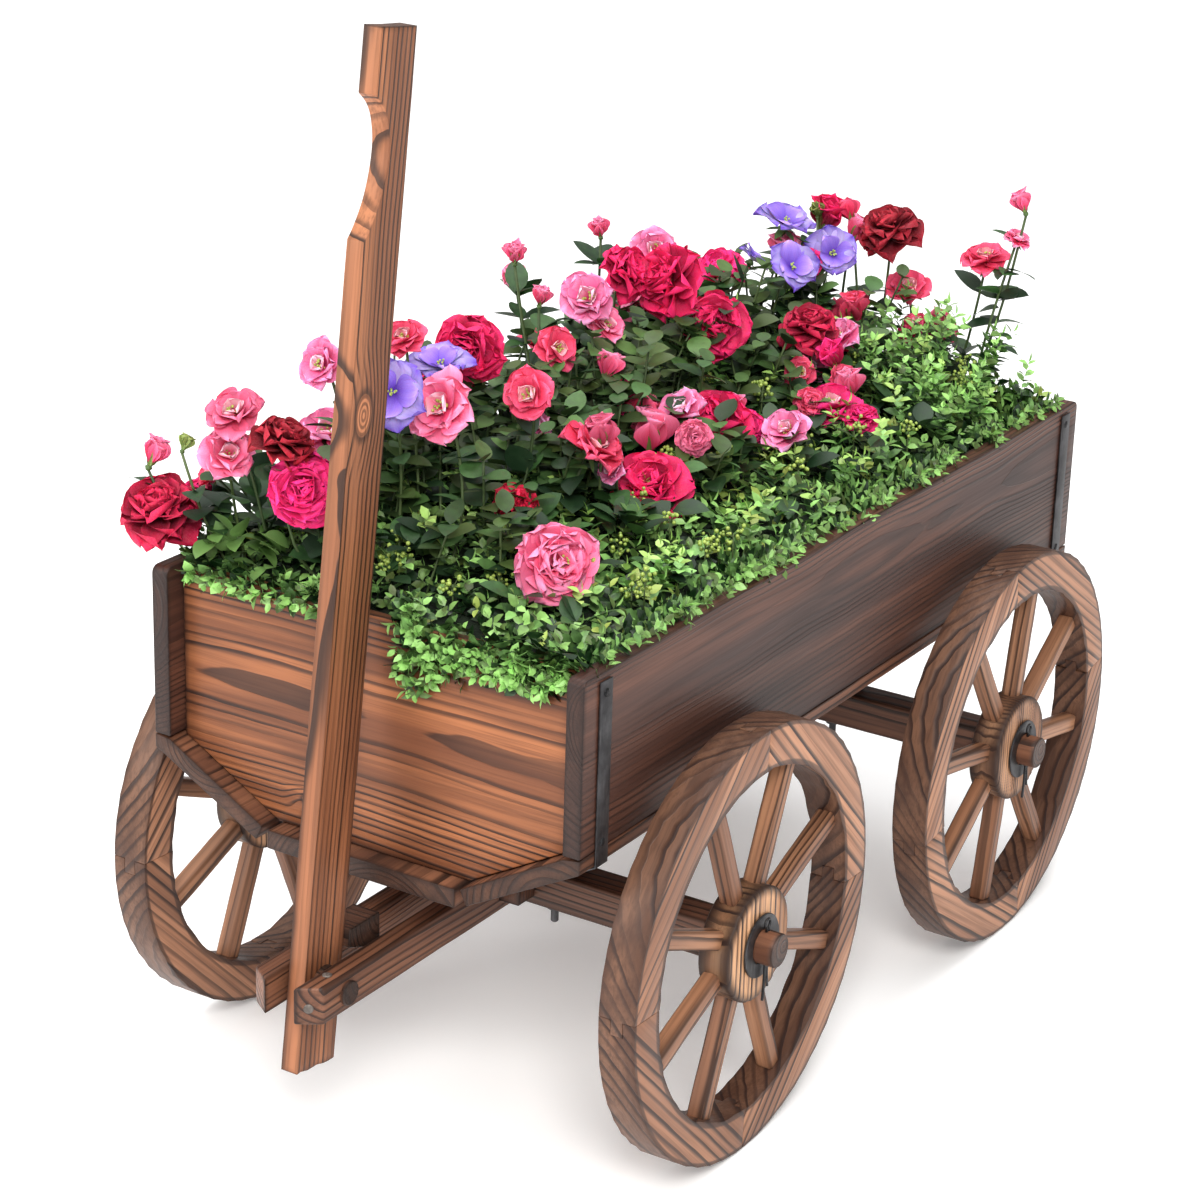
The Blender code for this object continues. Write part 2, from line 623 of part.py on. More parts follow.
clear_scene()
build_trough()
build_bands()
build_axle("front", 0.0)
build_axle("rear", WHEELBASE)
build_bolts()
build_wheels()
build_tongue()
build_handle()
build_planting()
for item in bpy.data.objects:
    item.location.y -= MIDDLE_Y
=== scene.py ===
"""Looks for the wooden wagon planter: burnt-fir timber, blackened steel fittings
and a lift-out planting of artificial greenery and blooms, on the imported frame."""
import json
import math
import random

import bmesh
import bpy
import numpy as np
from mathutils import Matrix, Vector, noise


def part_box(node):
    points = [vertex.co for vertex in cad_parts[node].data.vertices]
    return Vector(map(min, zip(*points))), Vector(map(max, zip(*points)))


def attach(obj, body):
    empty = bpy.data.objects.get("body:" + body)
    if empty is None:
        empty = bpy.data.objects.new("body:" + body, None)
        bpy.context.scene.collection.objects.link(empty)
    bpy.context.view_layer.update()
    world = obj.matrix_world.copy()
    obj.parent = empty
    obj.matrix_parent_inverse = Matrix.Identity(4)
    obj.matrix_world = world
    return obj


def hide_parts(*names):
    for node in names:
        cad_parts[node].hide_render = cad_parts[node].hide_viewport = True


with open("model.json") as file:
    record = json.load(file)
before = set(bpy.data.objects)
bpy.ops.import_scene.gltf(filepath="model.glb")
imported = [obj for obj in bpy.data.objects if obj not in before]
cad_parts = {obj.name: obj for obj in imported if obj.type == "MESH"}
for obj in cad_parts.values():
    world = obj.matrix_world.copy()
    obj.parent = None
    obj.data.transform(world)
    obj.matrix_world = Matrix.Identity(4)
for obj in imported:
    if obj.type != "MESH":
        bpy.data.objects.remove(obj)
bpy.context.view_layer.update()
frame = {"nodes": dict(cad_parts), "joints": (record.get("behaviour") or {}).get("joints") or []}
NODES = frame["nodes"]
JOINTS = {j["name"]: j for j in frame["joints"]}
FRONT_Y = JOINTS["front_right_wheel_spin"]["pos_m"][1]
REAR_Y = JOINTS["rear_right_wheel_spin"]["pos_m"][1]
PIVOT = Vector(JOINTS["handle_pivot"]["pos_m"])
WHEEL_R = 0.160
X, Y, Z = Vector((1, 0, 0)), Vector((0, 1, 0)), Vector((0, 0, 1))
SIDES = ((1, "right"), (-1, "left"))
HANDLE_TILT = math.radians(7.29)


# ---- node helpers ---------------------------------------------------------
class Graph:
    """Short calls for building one material's node tree."""

    def __init__(self, name):
        self.mat = bpy.data.materials.new(name)
        self.mat.use_nodes = True
        self.tree = self.mat.node_tree
        self.shader = self.tree.nodes["Principled BSDF"]

    def node(self, kind, **props):
        made = self.tree.nodes.new(kind)
        for key, value in props.items():
            setattr(made, key, value)
        return made

    def put(self, value, socket):
        if isinstance(value, bpy.types.NodeSocket):
            self.tree.links.new(value, socket)
        elif hasattr(value, "__len__") and len(value) == 3 and socket.type == "RGBA":
            socket.default_value = (*value, 1.0)
        else:
            socket.default_value = value

    def math(self, op, *values):
        made = self.node("ShaderNodeMath", operation=op)
        for value, socket in zip(values, made.inputs):
            self.put(value, socket)
        return made.outputs[0]

    def add(self, a, b):
        return self.math("ADD", a, b)

    def sub(self, a, b):
        return self.math("SUBTRACT", a, b)

    def mul(self, a, b):
        return self.math("MULTIPLY", a, b)

    def vec(self, x, y, z):
        made = self.node("ShaderNodeCombineXYZ")
        for value, socket in zip((x, y, z), made.inputs):
            self.put(value, socket)
        return made.outputs[0]

    def split(self, vector):
        made = self.node("ShaderNodeSeparateXYZ")
        self.put(vector, made.inputs[0])
        return made.outputs[0], made.outputs[1], made.outputs[2]

    def attribute(self, name, output="Vector"):
        return self.node("ShaderNodeAttribute", attribute_name=name).outputs[output]

    def coords(self):
        return self.node("ShaderNodeTexCoord").outputs["Object"]

    def noise(self, vector, scale=1.0, detail=2.0, rough=0.5):
        made = self.node("ShaderNodeTexNoise")
        self.put(vector, made.inputs["Vector"])
        made.inputs["Scale"].default_value = scale
        made.inputs["Detail"].default_value = detail
        made.inputs["Roughness"].default_value = rough
        return made.outputs["Fac"]

    def smooth(self, value, low, high, to_low=0.0, to_high=1.0):
        made = self.node("ShaderNodeMapRange", interpolation_type="SMOOTHSTEP")
        for v, key in ((value, "Value"), (low, "From Min"), (high, "From Max"),
                       (to_low, "To Min"), (to_high, "To Max")):
            self.put(v, made.inputs[key])
        return made.outputs["Result"]

    def mix(self, share, a, b, blend="MIX"):
        made = self.node("ShaderNodeMix", data_type="RGBA", blend_type=blend)
        self.put(share, made.inputs[0])
        self.put(a, made.inputs[6])
        self.put(b, made.inputs[7])
        return made.outputs[2]

    def finish(self, color, rough, height=None, depth=0.0005, strength=0.6, **fixed):
        self.put(color, self.shader.inputs["Base Color"])
        self.put(rough, self.shader.inputs["Roughness"])
        if height is not None:
            bump = self.node("ShaderNodeBump")
            bump.inputs["Distance"].default_value = depth
            bump.inputs["Strength"].default_value = strength
            self.put(height, bump.inputs["Height"])
            self.put(bump.outputs["Normal"], self.shader.inputs["Normal"])
        for key, value in fixed.items():
            self.shader.inputs[key.replace("_", " ")].default_value = value
        return self.mat


# ---- materials ------------------------------------------------------------
def wood(name, light, brown, line, spacing=0.0048, contrast=0.9, burn=0.35,
         edge=0.7, edge_w=0.0035, relief=0.6, rough=0.47, wander=0.018, uneven=7.0,
         tread_scorch_and_shade=0.0):
    """Burnt and brushed fir. Growth lines are shells round a pith beside the
    piece; edges, ends and the ring round a knot are scorched darker."""
    g = Graph(name)
    u, v, w = g.split(g.attribute("wg"))
    pith_v, pith_w, shift = g.split(g.attribute("ws"))
    knot_u, knot_v, knot_r = g.split(g.attribute("wk"))
    far_u = g.add(u, shift)

    slow = g.noise(g.vec(g.mul(far_u, 2.6), g.mul(v, 7.0), g.mul(w, 7.0)), 1.0, 1.5)
    drift = g.noise(g.vec(g.mul(far_u, 5.0), g.mul(v, 3.0), g.add(w, 4.0)), 1.0, 1.0)
    wobble = g.noise(g.vec(g.mul(far_u, 26.0), g.mul(v, 140.0), g.mul(w, 140.0)), 1.0, 1.0)
    du = g.math("DIVIDE", g.sub(u, knot_u), 1.7)
    dv = g.sub(v, knot_v)
    near = g.math("SQRT", g.add(g.mul(du, du), g.mul(dv, dv)))
    near = g.math("DIVIDE", near, g.math("MAXIMUM", knot_r, 0.0001))
    swirl = g.smooth(near, 3.4, 0.7)
    a = g.add(g.sub(v, pith_v), g.mul(g.sub(slow, 0.5), wander))
    b = g.add(g.sub(w, pith_w), g.mul(g.sub(drift, 0.5), wander * 0.8))
    dist = g.math("SQRT", g.add(g.mul(a, a), g.mul(b, b)))
    dist = g.add(dist, g.mul(g.sub(wobble, 0.5), 0.0011))
    pace = g.noise(g.vec(g.mul(dist, 24.0), shift, 0.0), 1.0, 1.0)
    phase = g.add(g.math("DIVIDE", dist, spacing), g.mul(pace, uneven))
    phase = g.add(phase, g.mul(swirl, 1.6))
    f = g.math("FRACT", phase)
    late = g.mul(g.smooth(f, 0.50, 0.84), g.smooth(f, 1.0, 0.965))
    vary = g.noise(g.vec(g.mul(dist, 95.0), g.mul(far_u, 1.3), shift), 1.0, 1.5)
    late = g.mul(late, g.smooth(vary, 0.32, 0.58, 0.15, 1.0))

    fibre = g.noise(g.vec(g.mul(far_u, 11.0), g.mul(v, 520.0), g.mul(w, 520.0)), 1.0, 2.0, 0.6)
    band = g.noise(g.vec(g.mul(far_u, 2.2), g.mul(v, 46.0), g.mul(w, 46.0)), 1.0, 2.0)
    blotch = g.noise(g.vec(g.mul(far_u, 6.5), g.mul(v, 19.0), g.mul(w, 19.0)), 1.0, 2.0)
    streak = g.noise(g.vec(g.mul(far_u, 5.0), g.mul(v, 190.0), g.mul(w, 190.0)), 1.0, 2.0, 0.6)
    color = g.mix(g.smooth(band, 0.36, 0.66), brown, light)
    color = g.mix(g.smooth(streak, 0.48, 0.72, 0.0, 0.55), color, g.mix(0.35, brown, line))
    color = g.mix(g.smooth(fibre, 0.42, 0.75, 0.0, 0.45), color, g.mix(0.5, brown, line))
    color = g.mix(g.mul(late, contrast), color, line)
    color = g.mix(g.smooth(blotch, 0.52, 0.78, 0.0, burn), color, line)
    knot = g.smooth(near, 1.0, 0.80)
    rings = g.math("SINE", g.mul(near, 21.0))
    color = g.mix(g.mul(g.smooth(near, 1.45, 1.0), 0.75), color, line)
    tan = tuple(min(1.0, c * 1.35) for c in light)
    color = g.mix(g.mul(knot, 0.85), color, g.mix(g.smooth(rings, -0.6, 0.7), brown, tan))

    eu, ev, ew = g.split(g.attribute("wc"))
    hu, hv, hw = g.split(g.attribute("wh"))
    sides = [g.sub(h, g.math("ABSOLUTE", e)) for h, e in ((hu, eu), (hv, ev), (hw, ew))]
    low = g.math("MINIMUM", g.math("MINIMUM", sides[0], sides[1]), sides[2])
    high = g.math("MAXIMUM", g.math("MAXIMUM", sides[0], sides[1]), sides[2])
    middle = g.sub(g.sub(g.add(g.add(sides[0], sides[1]), sides[2]), low), high)
    reach = g.add(g.mul(blotch, edge_w * 2.4), 0.0006)
    rim = g.smooth(middle, reach, 0.0)
    color = g.mix(g.mul(rim, edge), color, line)
    # When set, the faces at the ends of the v span (for a felloe, the tread and the inner face) are pulled
    # towards the line colour: partly scorched wood, partly painted shade on the tread.
    if tread_scorch_and_shade:
        color = g.mix(g.smooth(sides[1], 0.0046, 0.0030, 0.0, tread_scorch_and_shade), color, line)
    end = g.smooth(sides[0], 0.0016, 0.0005)
    color = g.mix(g.mul(end, 0.72), color, line)

    height = g.add(g.mul(late, relief), g.mul(fibre, 0.30))
    height = g.add(height, g.mul(band, 0.35))
    height = g.sub(height, g.mul(knot, 0.3))
    shine = g.add(rough - 0.08, g.mul(g.add(g.mul(fibre, 0.6), g.mul(rim, 0.3)), 0.30))
    return g.finish(color, shine, height, 0.0008, 0.85, Specular_IOR_Level=0.30,
                    Coat_Weight=0.05, Coat_Roughness=0.30)


def metal(name, base, wear, rough=0.42):
    g = Graph(name)
    p = g.coords()
    cloud = g.noise(p, 38.0, 4.0, 0.6)
    fine = g.noise(p, 420.0, 3.0, 0.6)
    x, y, z = g.split(p)
    brushed = g.noise(g.vec(g.mul(x, 700.0), g.mul(y, 700.0), g.mul(z, 35.0)), 1.0, 2.0)
    color = g.mix(g.smooth(cloud, 0.35, 0.7), base, wear)
    color = g.mix(g.smooth(brushed, 0.58, 0.78, 0.0, 0.35), color,
                  g.mix(0.5, wear, (0.30, 0.29, 0.29)))
    shine = g.add(rough - 0.1, g.add(g.mul(cloud, 0.16), g.mul(fine, 0.14)))
    height = g.add(g.mul(fine, 0.4), g.mul(brushed, 0.35))
    return g.finish(color, shine, height, 0.00025, 0.5, Metallic=0.8)


def leafy(name, deep, bright, rough, coat):
    """Leaf skin: vertex attribute 'tone' is (brightness, yellow, along)."""
    g = Graph(name)
    tone, yellow, along = g.split(g.attribute("tone"))
    p = g.coords()
    mottle = g.noise(p, 160.0, 3.0)
    color = g.mix(g.smooth(g.add(tone, g.mul(g.sub(mottle, 0.5), 0.5)), 0.10, 1.15), deep, bright)
    color = g.mix(g.mul(yellow, 0.8), color, (0.42, 0.50, 0.10))
    # Each leaf darkens over its first quarter: painted shade where it meets its stem.
    color = g.mix(g.smooth(along, 0.0, 0.25, 0.45, 0.0), color, deep)
    shine = g.add(rough - 0.06, g.mul(mottle, 0.2))
    return g.finish(color, shine, g.noise(p, 900.0, 2.0), 0.0003, 0.45,
                    Coat_Weight=coat, Coat_Roughness=0.3, Specular_IOR_Level=0.5)


def petal_skin(name):
    """Printed fabric petals: 'tint' is the colour, 'vein' (across, along, -)."""
    g = Graph(name)
    across, along, _ = g.split(g.attribute("vein"))
    tint = g.attribute("tint", "Color")
    p = g.coords()
    streak = g.noise(g.vec(g.mul(across, 26.0), g.mul(along, 2.0), 0.0), 1.0, 2.0)
    weave = g.noise(p, 1500.0, 2.0)
    color = g.mix(g.smooth(streak, 0.42, 0.70, 0.0, 0.35), tint,
                  g.mix(1.0, tint, (0.84, 0.45, 0.62), "MULTIPLY"))
    color = g.mix(g.smooth(weave, 0.3, 0.8, 0.0, 0.05), color, (1.0, 0.9, 0.95))
    height = g.add(g.mul(streak, 0.8), g.mul(weave, 0.2))
    return g.finish(color, g.add(0.50, g.mul(weave, 0.2)), height, 0.0006, 0.5,
                    Specular_IOR_Level=0.25, Subsurface_Weight=0.15, Subsurface_Scale=0.004)


def mat_fibre(name, dark, pale):
    g = Graph(name)
    p = g.coords()
    x, y, z = g.split(p)
    hair = g.noise(g.vec(g.mul(x, 90.0), g.mul(y, 900.0), g.mul(z, 500.0)), 1.0, 3.0)
    clump = g.noise(p, 60.0, 4.0)
    color = g.mix(g.smooth(g.add(g.mul(hair, 0.6), g.mul(clump, 0.4)), 0.35, 0.65), dark, pale)
    return g.finish(color, 0.92, g.add(hair, clump), 0.002, 0.8)


WOOD_FRONT = wood("wood_front_look", (0.366, 0.130, 0.050), (0.160, 0.052, 0.021),
                  (0.022, 0.009, 0.006), 0.0052, 0.95, 0.25)
WOOD_HANDLE = wood("wood_handle_look", (0.425, 0.165, 0.074), (0.225, 0.082, 0.036),
                   (0.024, 0.010, 0.006), 0.0050, 0.92, 0.22, 0.36, uneven=4.0)
WOOD_SIDE = wood("wood_side_look", (0.122, 0.048, 0.029), (0.055, 0.022, 0.015),
                 (0.012, 0.006, 0.005), 0.0040, 0.80, 0.35, 0.6)
WOOD_RIM = wood("wood_rim_look", (0.520, 0.250, 0.138), (0.255, 0.112, 0.060),
                (0.026, 0.012, 0.009), 0.0062, 0.95, 0.25, 0.30, 0.0028, wander=0.005, uneven=3.0,
                tread_scorch_and_shade=0.74)
WOOD_HUB = wood("wood_hub_look", (0.700, 0.385, 0.205), (0.430, 0.205, 0.100),
                (0.026, 0.012, 0.008), 0.0066, 1.0, 0.15, 1.0, 0.0060, wander=0.004, uneven=2.0)
WOOD_HUB_FINE = wood("wood_hub_fine_look", (0.560, 0.300, 0.165), (0.340, 0.160, 0.085),
                     (0.030, 0.014, 0.010), 0.0036, 0.90, 0.15, 1.0, 0.0060,
                     wander=0.004, uneven=2.0)
WOOD_SPOKE = wood("wood_spoke_look", (0.420, 0.205, 0.110), (0.225, 0.098, 0.052),
                  (0.026, 0.012, 0.008), 0.0050, 0.85, 0.30, 0.60, 0.0020)
WOOD_UNDER = wood("wood_under_look", (0.165, 0.072, 0.042), (0.085, 0.037, 0.023),
                  (0.013, 0.007, 0.005), 0.0046, 0.90, 0.40, 0.6)
WOOD_ARM = wood("wood_arm_look", (0.235, 0.098, 0.052), (0.115, 0.046, 0.026),
                (0.020, 0.009, 0.006), 0.0048, 0.90, 0.35, 0.7)
STEEL = metal("black_steel_look", (0.030, 0.029, 0.031), (0.095, 0.093, 0.098))
WIRE = metal("black_wire_look", (0.012, 0.012, 0.013), (0.045, 0.045, 0.048), 0.36)
SCREW = metal("zinc_screw_look", (0.10, 0.085, 0.075), (0.24, 0.21, 0.19), 0.45)
LEAVES = leafy("small_leaf_look", (0.003, 0.022, 0.003), (0.460, 0.920, 0.250), 0.42, 0.05)
ROSE_LEAVES = leafy("rose_leaf_look", (0.006, 0.026, 0.007), (0.085, 0.215, 0.055), 0.50, 0.0)
BERRIES = leafy("berry_look", (0.150, 0.260, 0.030), (0.430, 0.560, 0.110), 0.35, 0.3)
STEMS = leafy("stem_look", (0.030, 0.058, 0.014), (0.110, 0.160, 0.050), 0.55, 0.0)
PETALS = petal_skin("petal_look")
# Near-black green for the sheet under the leaves: painted shade in the depths of the foliage.
SHADE_SHEET = mat_fibre("moss_look", (0.002, 0.006, 0.0015), (0.007, 0.020, 0.004))
COIR = mat_fibre("coir_look", (0.020, 0.012, 0.007), (0.105, 0.064, 0.034))


# ---- timber geometry ------------------------------------------------------
NO_KNOT = (9.0, 9.0, 0.0)  # far off any piece


def set_vectors(mesh, name, values):
    layer = mesh.attributes.new(name, "FLOAT_VECTOR", "POINT")
    layer.data.foreach_set("vector", np.asarray(values, np.float32).ravel())


def wood_tags(mesh, dirs, seed, pith, knot=NO_KNOT, grain=None, arc=None):
    """Write the coordinates that the wood material reads."""
    co = np.empty(len(mesh.vertices) * 3)
    mesh.vertices.foreach_get("co", co)
    co = co.reshape(-1, 3)
    flat = co @ np.array([tuple(d) for d in dirs]).T
    centred = flat - (flat.min(0) + flat.max(0)) / 2
    half = (flat.max(0) - flat.min(0)) / 2
    if arc is not None:
        centred, half = arc(co)
    set_vectors(mesh, "wg", centred if grain is None else grain(co))
    set_vectors(mesh, "wc", centred)
    set_vectors(mesh, "wh", np.broadcast_to(half, centred.shape))
    set_vectors(mesh, "ws", np.broadcast_to((pith[0], pith[1], seed * 0.731), centred.shape))
    set_vectors(mesh, "wk", np.broadcast_to(knot, centred.shape))


def add_piece(name, mesh, look, body, slot, *nodes):
    mesh.materials.append(look)
    obj = bpy.data.objects.new(name, mesh)
    bpy.context.scene.collection.objects.link(obj)
    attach(obj, body)
    if nodes:
        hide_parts(*nodes)
    return obj


def bm_to_mesh(bm, name, smooth=38.0):
    bmesh.ops.recalc_face_normals(bm, faces=bm.faces)
    mesh = bpy.data.meshes.new(name)
    bm.to_mesh(mesh)
    bm.free()
    for poly in mesh.polygons:
        poly.use_smooth = True
    mesh.set_sharp_from_angle(angle=math.radians(smooth))
    return mesh


def round_edges(bm, width, segments=2, angle=25.0):
    sharp = [e for e in bm.edges if e.is_manifold and e.calc_face_angle(0) > math.radians(angle)]
    bmesh.ops.bevel(bm, geom=sharp, offset=width, segments=segments, profile=0.5,
                    affect="EDGES", clamp_overlap=True)


def slice_along(bm, direction, step):
    spans = [v.co.dot(direction) for v in bm.verts]
    low, high = min(spans), max(spans)
    count = max(1, int((high - low) / step))
    for i in range(1, count):
        where = direction * (low + (high - low) * i / count)
        bmesh.ops.bisect_plane(bm, geom=bm.verts[:] + bm.edges[:] + bm.faces[:],
                               plane_co=where, plane_no=direction, dist=1e-6)


def hand_worn(bm, amount, scale=30.0, seed=0.0):
    """Push the surface in a little, unevenly, as on sawn and brushed stock."""
    bm.normal_update()
    for v in bm.verts:
        dip = 0.5 + 0.5 * noise.noise(v.co * scale + Vector((seed, seed * 2, 0)))
        v.co -= v.normal * amount * dip


def prism_bm(outline, axis, low, high):
    """Closed prism; axis X takes (y, z), Y takes (x, z), Z takes (x, y)."""
    place = {"X": lambda p, t: (t, p[0], p[1]), "Y": lambda p, t: (p[0], t, p[1]),
             "Z": lambda p, t: (p[0], p[1], t)}[axis]
    bm = bmesh.new()
    rows = [[bm.verts.new(place(p, t)) for p in outline] for t in (low, high)]
    n = len(outline)
    bm.faces.new(rows[0])
    bm.faces.new(rows[1][::-1])
    for i in range(n):
        bm.faces.new([rows[0][i], rows[0][(i + 1) % n], rows[1][(i + 1) % n], rows[1][i]])
    bmesh.ops.recalc_face_normals(bm, faces=bm.faces)
    return bm


def timber(node, outline, axis, low, high, dirs, look, slot, seed, pith,
           width=0.0012, worn=0.0004, step=0.02, knot=NO_KNOT):
    """A wooden piece of the wagon in the place of a CAD node; dirs[0] is its grain."""
    bm = prism_bm(outline, axis, low, high)
    round_edges(bm, width, 3)
    slice_along(bm, dirs[0], step)
    hand_worn(bm, worn, 34.0, seed)
    name = node + "_wood"
    mesh = bm_to_mesh(bm, name)
    wood_tags(mesh, dirs, seed, pith, knot)
    return add_piece(name, mesh, look, "wagon", slot, node)


def box_outline(node, axis):
    lo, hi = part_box(node)
    a, b = {"X": (1, 2), "Y": (0, 2), "Z": (0, 1)}[axis]
    return [(lo[a], lo[b]), (hi[a], lo[b]), (hi[a], hi[b]), (lo[a], hi[b])]


def boxed(node, axis, dirs, look, slot, seed, pith, **more):
    """A plain squared piece in the place of a CAD node."""
    lo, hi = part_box(node)
    k = "XYZ".index(axis)
    return timber(node, box_outline(node, axis), axis, lo[k], hi[k], dirs, look,
                  slot, seed, pith, **more)


def build_trough():
    lo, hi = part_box("right_side_board")
    cut = 0.0060
    side = [(lo.y, lo.z), (hi.y, lo.z)]
    for cy, start in ((hi.y - cut, 0.0), (lo.y + cut, 90.0)):
        for k in range(5):
            a = math.radians(start + 22.5 * k)
            side.append((cy + cut * math.cos(a), hi.z - cut + cut * math.sin(a)))
    for sign, word in SIDES:
        lo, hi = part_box(f"{word}_side_board")
        timber(f"{word}_side_board", side, "X", lo.x, hi.x, (Y, Z, X), WOOD_SIDE,
               "wood_side", 3.0 + sign, (0.030, 0.034 * sign), step=0.018, worn=0.0006)
        slope = Vector((sign * 0.8742, 0, 0.4855)).normalized()
        across = slope.cross(Y)
        lo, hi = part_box(f"{word}_bevel_board")
        x1 = hi.x if sign > 0 else -lo.x
        profile = [(x1 - 0.0938, 0.2269), (x1 - 0.0883, 0.2157), (x1, 0.2634),
                   (x1, 0.2735), (x1 - 0.0131, 0.2717)]
        timber(f"{word}_bevel_board", [(sign * x, z) for x, z in profile], "Y", lo.y, hi.y,
               (Y, slope, across), WOOD_ARM, "wood_side", 7.0 + sign,
               (0.012, -0.030), width=0.0010)
    boxed("floor_board", "Y", (Y, X, Z), WOOD_ARM, "wood_front", 4.4, (0.02, -0.05))
    for node, seed in (("front_end_board", 1.3), ("rear_end_board", 2.9)):
        lo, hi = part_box(node)
        x0, x1 = 0.0800, hi.x
        slope = 0.0448 / 0.0807
        half = [(x0, lo.z), (x0 + 0.0023, 0.2273), (x1, 0.2273 + slope * (x1 - x0 - 0.0023)),
                (x1, hi.z)]
        outline = half + [(-x, z) for x, z in reversed(half)]
        timber(node, outline, "Y", lo.y, hi.y, (X, Z, Y), WOOD_FRONT, "wood_front",
               seed, (0.012, 0.026), step=0.016, worn=0.0004, knot=(-0.052, -0.062, 0.0048))


BAND_THICK = 0.0012


def strip(name, path, y0, y1, thick):
    """Flat steel strip along an (x, z) path; thickness goes to the left."""
    pts = [Vector((x, 0, z)) for x, z in path]
    outer = []
    for i, p in enumerate(pts):
        normals = []
        for a, b in ((i - 1, i), (i, i + 1)):
            if 0 <= a and b < len(pts):
                t = (pts[b] - pts[a]).normalized()
                normals.append(Vector((t.z, 0, -t.x)))
        n = sum(normals, Vector()).normalized()
        outer.append(p + n * thick / max(0.3, n.dot(normals[0])))
    ring = [(p.x, p.z) for p in pts] + [(p.x, p.z) for p in reversed(outer)]
    bm = prism_bm(ring, "Y", y0, y1)
    round_edges(bm, 0.00025, 2)
    return bm_to_mesh(bm, name)


def dome(name, where, normal, radius, height, look, slotted=False):
    """Nail or screw head: a low lathed dome, with a cross recess if slotted."""
    normal = Vector(normal).normalized()
    side = normal.orthogonal().normalized()
    up = normal.cross(side)
    bm = bmesh.new()
    rings = []
    profile = [(1.0, -0.3), (1.0, 0.15), (0.93, 0.45), (0.78, 0.75), (0.5, 0.95), (0.22, 1.0)]
    for r, h in profile:
        ring = []
        for k in range(24):
            a = 2 * math.pi * k / 24
            drop = 0.0
            if slotted and r < 0.8 and k % 6 == 0:
                drop = 0.45
            ring.append(bm.verts.new(Vector(where) + normal * height * (h - drop)
                                     + radius * r * (math.cos(a) * side + math.sin(a) * up)))
        rings.append(ring)
    for low, high in zip(rings, rings[1:]):
        for k in range(24):
            bm.faces.new([low[k], low[(k + 1) % 24], high[(k + 1) % 24], high[k]])
    bm.faces.new(rings[-1])
    bm.faces.new(rings[0][::-1])
    return add_piece(name, bm_to_mesh(bm, name), look, "wagon", "black_steel")


def build_bands():
    for word in ("front", "rear"):
        node = f"{word}_hoop_band"
        lo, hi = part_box(node)
        out = hi.x - BAND_THICK
        path = [(-out, hi.z), (-out, 0.2632), (-0.0883, 0.2153), (-0.0768, 0.2114),
                (0.0768, 0.2114), (0.0883, 0.2153), (out, 0.2632), (out, hi.z)]
        band = strip(node + "_steel", path, lo.y, hi.y, BAND_THICK)
        add_piece(node + "_steel", band, STEEL, "wagon", "black_steel", node)
        yc = (lo.y + hi.y) / 2
        for sign, side in SIDES:
            for n, z in enumerate((hi.z - 0.0085, 0.2790)):
                dome(f"{word}_{side}_band_nail_{n + 1}", (sign * (out + BAND_THICK), yc, z),
                     (sign, 0, 0), 0.0030, 0.0012, WIRE)
    lo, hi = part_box("rear_top_strap")
    bm = prism_bm(box_outline("rear_top_strap", "Z"), "Z", lo.z, hi.z)
    round_edges(bm, 0.0003, 2)
    add_piece("rear_top_strap_steel", bm_to_mesh(bm, "rear_top_strap_steel"), STEEL, "wagon",
              "black_steel", "rear_top_strap")
    for sign, side in SIDES:
        dome(f"rear_strap_screw_{side}", (sign * 0.145, (lo.y + hi.y) / 2, hi.z), Z, 0.0036,
             0.0011, SCREW, True)


def lathe_x(name, profile, center, sign, count, look, slot, nodes=(), seed=0.0,
            pith=(0.0, 0.0), worn=0.0, grain_dirs=None):
    """Closed ring or disc of the wagon about an X line; profile is (radius, x)."""
    bm = bmesh.new()
    rings = []
    for r, x in profile:
        if r < 1e-6:
            rings.append([bm.verts.new((sign * x, center[0], center[1]))])
        else:
            rings.append([bm.verts.new((sign * x, center[0] + r * math.cos(2 * math.pi * k / count),
                                        center[1] + r * math.sin(2 * math.pi * k / count)))
                          for k in range(count)])
    pairs = list(zip(rings, rings[1:]))
    if len(rings[0]) > 1:
        pairs.append((rings[-1], rings[0]))
    for low, high in pairs:
        for k in range(count):
            j = (k + 1) % count
            quad = [low[k % len(low)], low[j % len(low)], high[j % len(high)], high[k % len(high)]]
            bm.faces.new(list(dict.fromkeys(quad)))
    if worn:
        bmesh.ops.recalc_face_normals(bm, faces=bm.faces)
        hand_worn(bm, worn, 45.0, seed)
    mesh = bm_to_mesh(bm, name)
    if grain_dirs:
        wood_tags(mesh, grain_dirs, seed, pith)
    return add_piece(name, mesh, look, "wagon", slot, *nodes)


# ---- wheels ---------------------------------------------------------------
def cells_bm(angles, radii, xs, filled):
    """Shell round the filled cells of a grid in angle, radius and x."""
    bm, index = bmesh.new(), {}

    def vert(i, j, k):
        if (i, j, k) not in index:
            index[i, j, k] = bm.verts.new((xs[k], radii[j] * math.cos(angles[i]),
                                           radii[j] * math.sin(angles[i])))
        return index[i, j, k]

    sides = [((1, 0, 0), [(1, 0, 0), (1, 1, 0), (1, 1, 1), (1, 0, 1)]),
             ((-1, 0, 0), [(0, 0, 0), (0, 0, 1), (0, 1, 1), (0, 1, 0)]),
             ((0, 1, 0), [(0, 1, 0), (0, 1, 1), (1, 1, 1), (1, 1, 0)]),
             ((0, -1, 0), [(0, 0, 0), (1, 0, 0), (1, 0, 1), (0, 0, 1)]),
             ((0, 0, 1), [(0, 0, 1), (1, 0, 1), (1, 1, 1), (0, 1, 1)]),
             ((0, 0, -1), [(0, 0, 0), (0, 1, 0), (1, 1, 0), (1, 0, 0)])]
    for (i, j, k) in sorted(filled):
        for step, corners in sides:
            if (i + step[0], j + step[1], k + step[2]) not in filled:
                bm.faces.new([vert(i + a, j + b, k + c) for a, b, c in corners])
    return bm


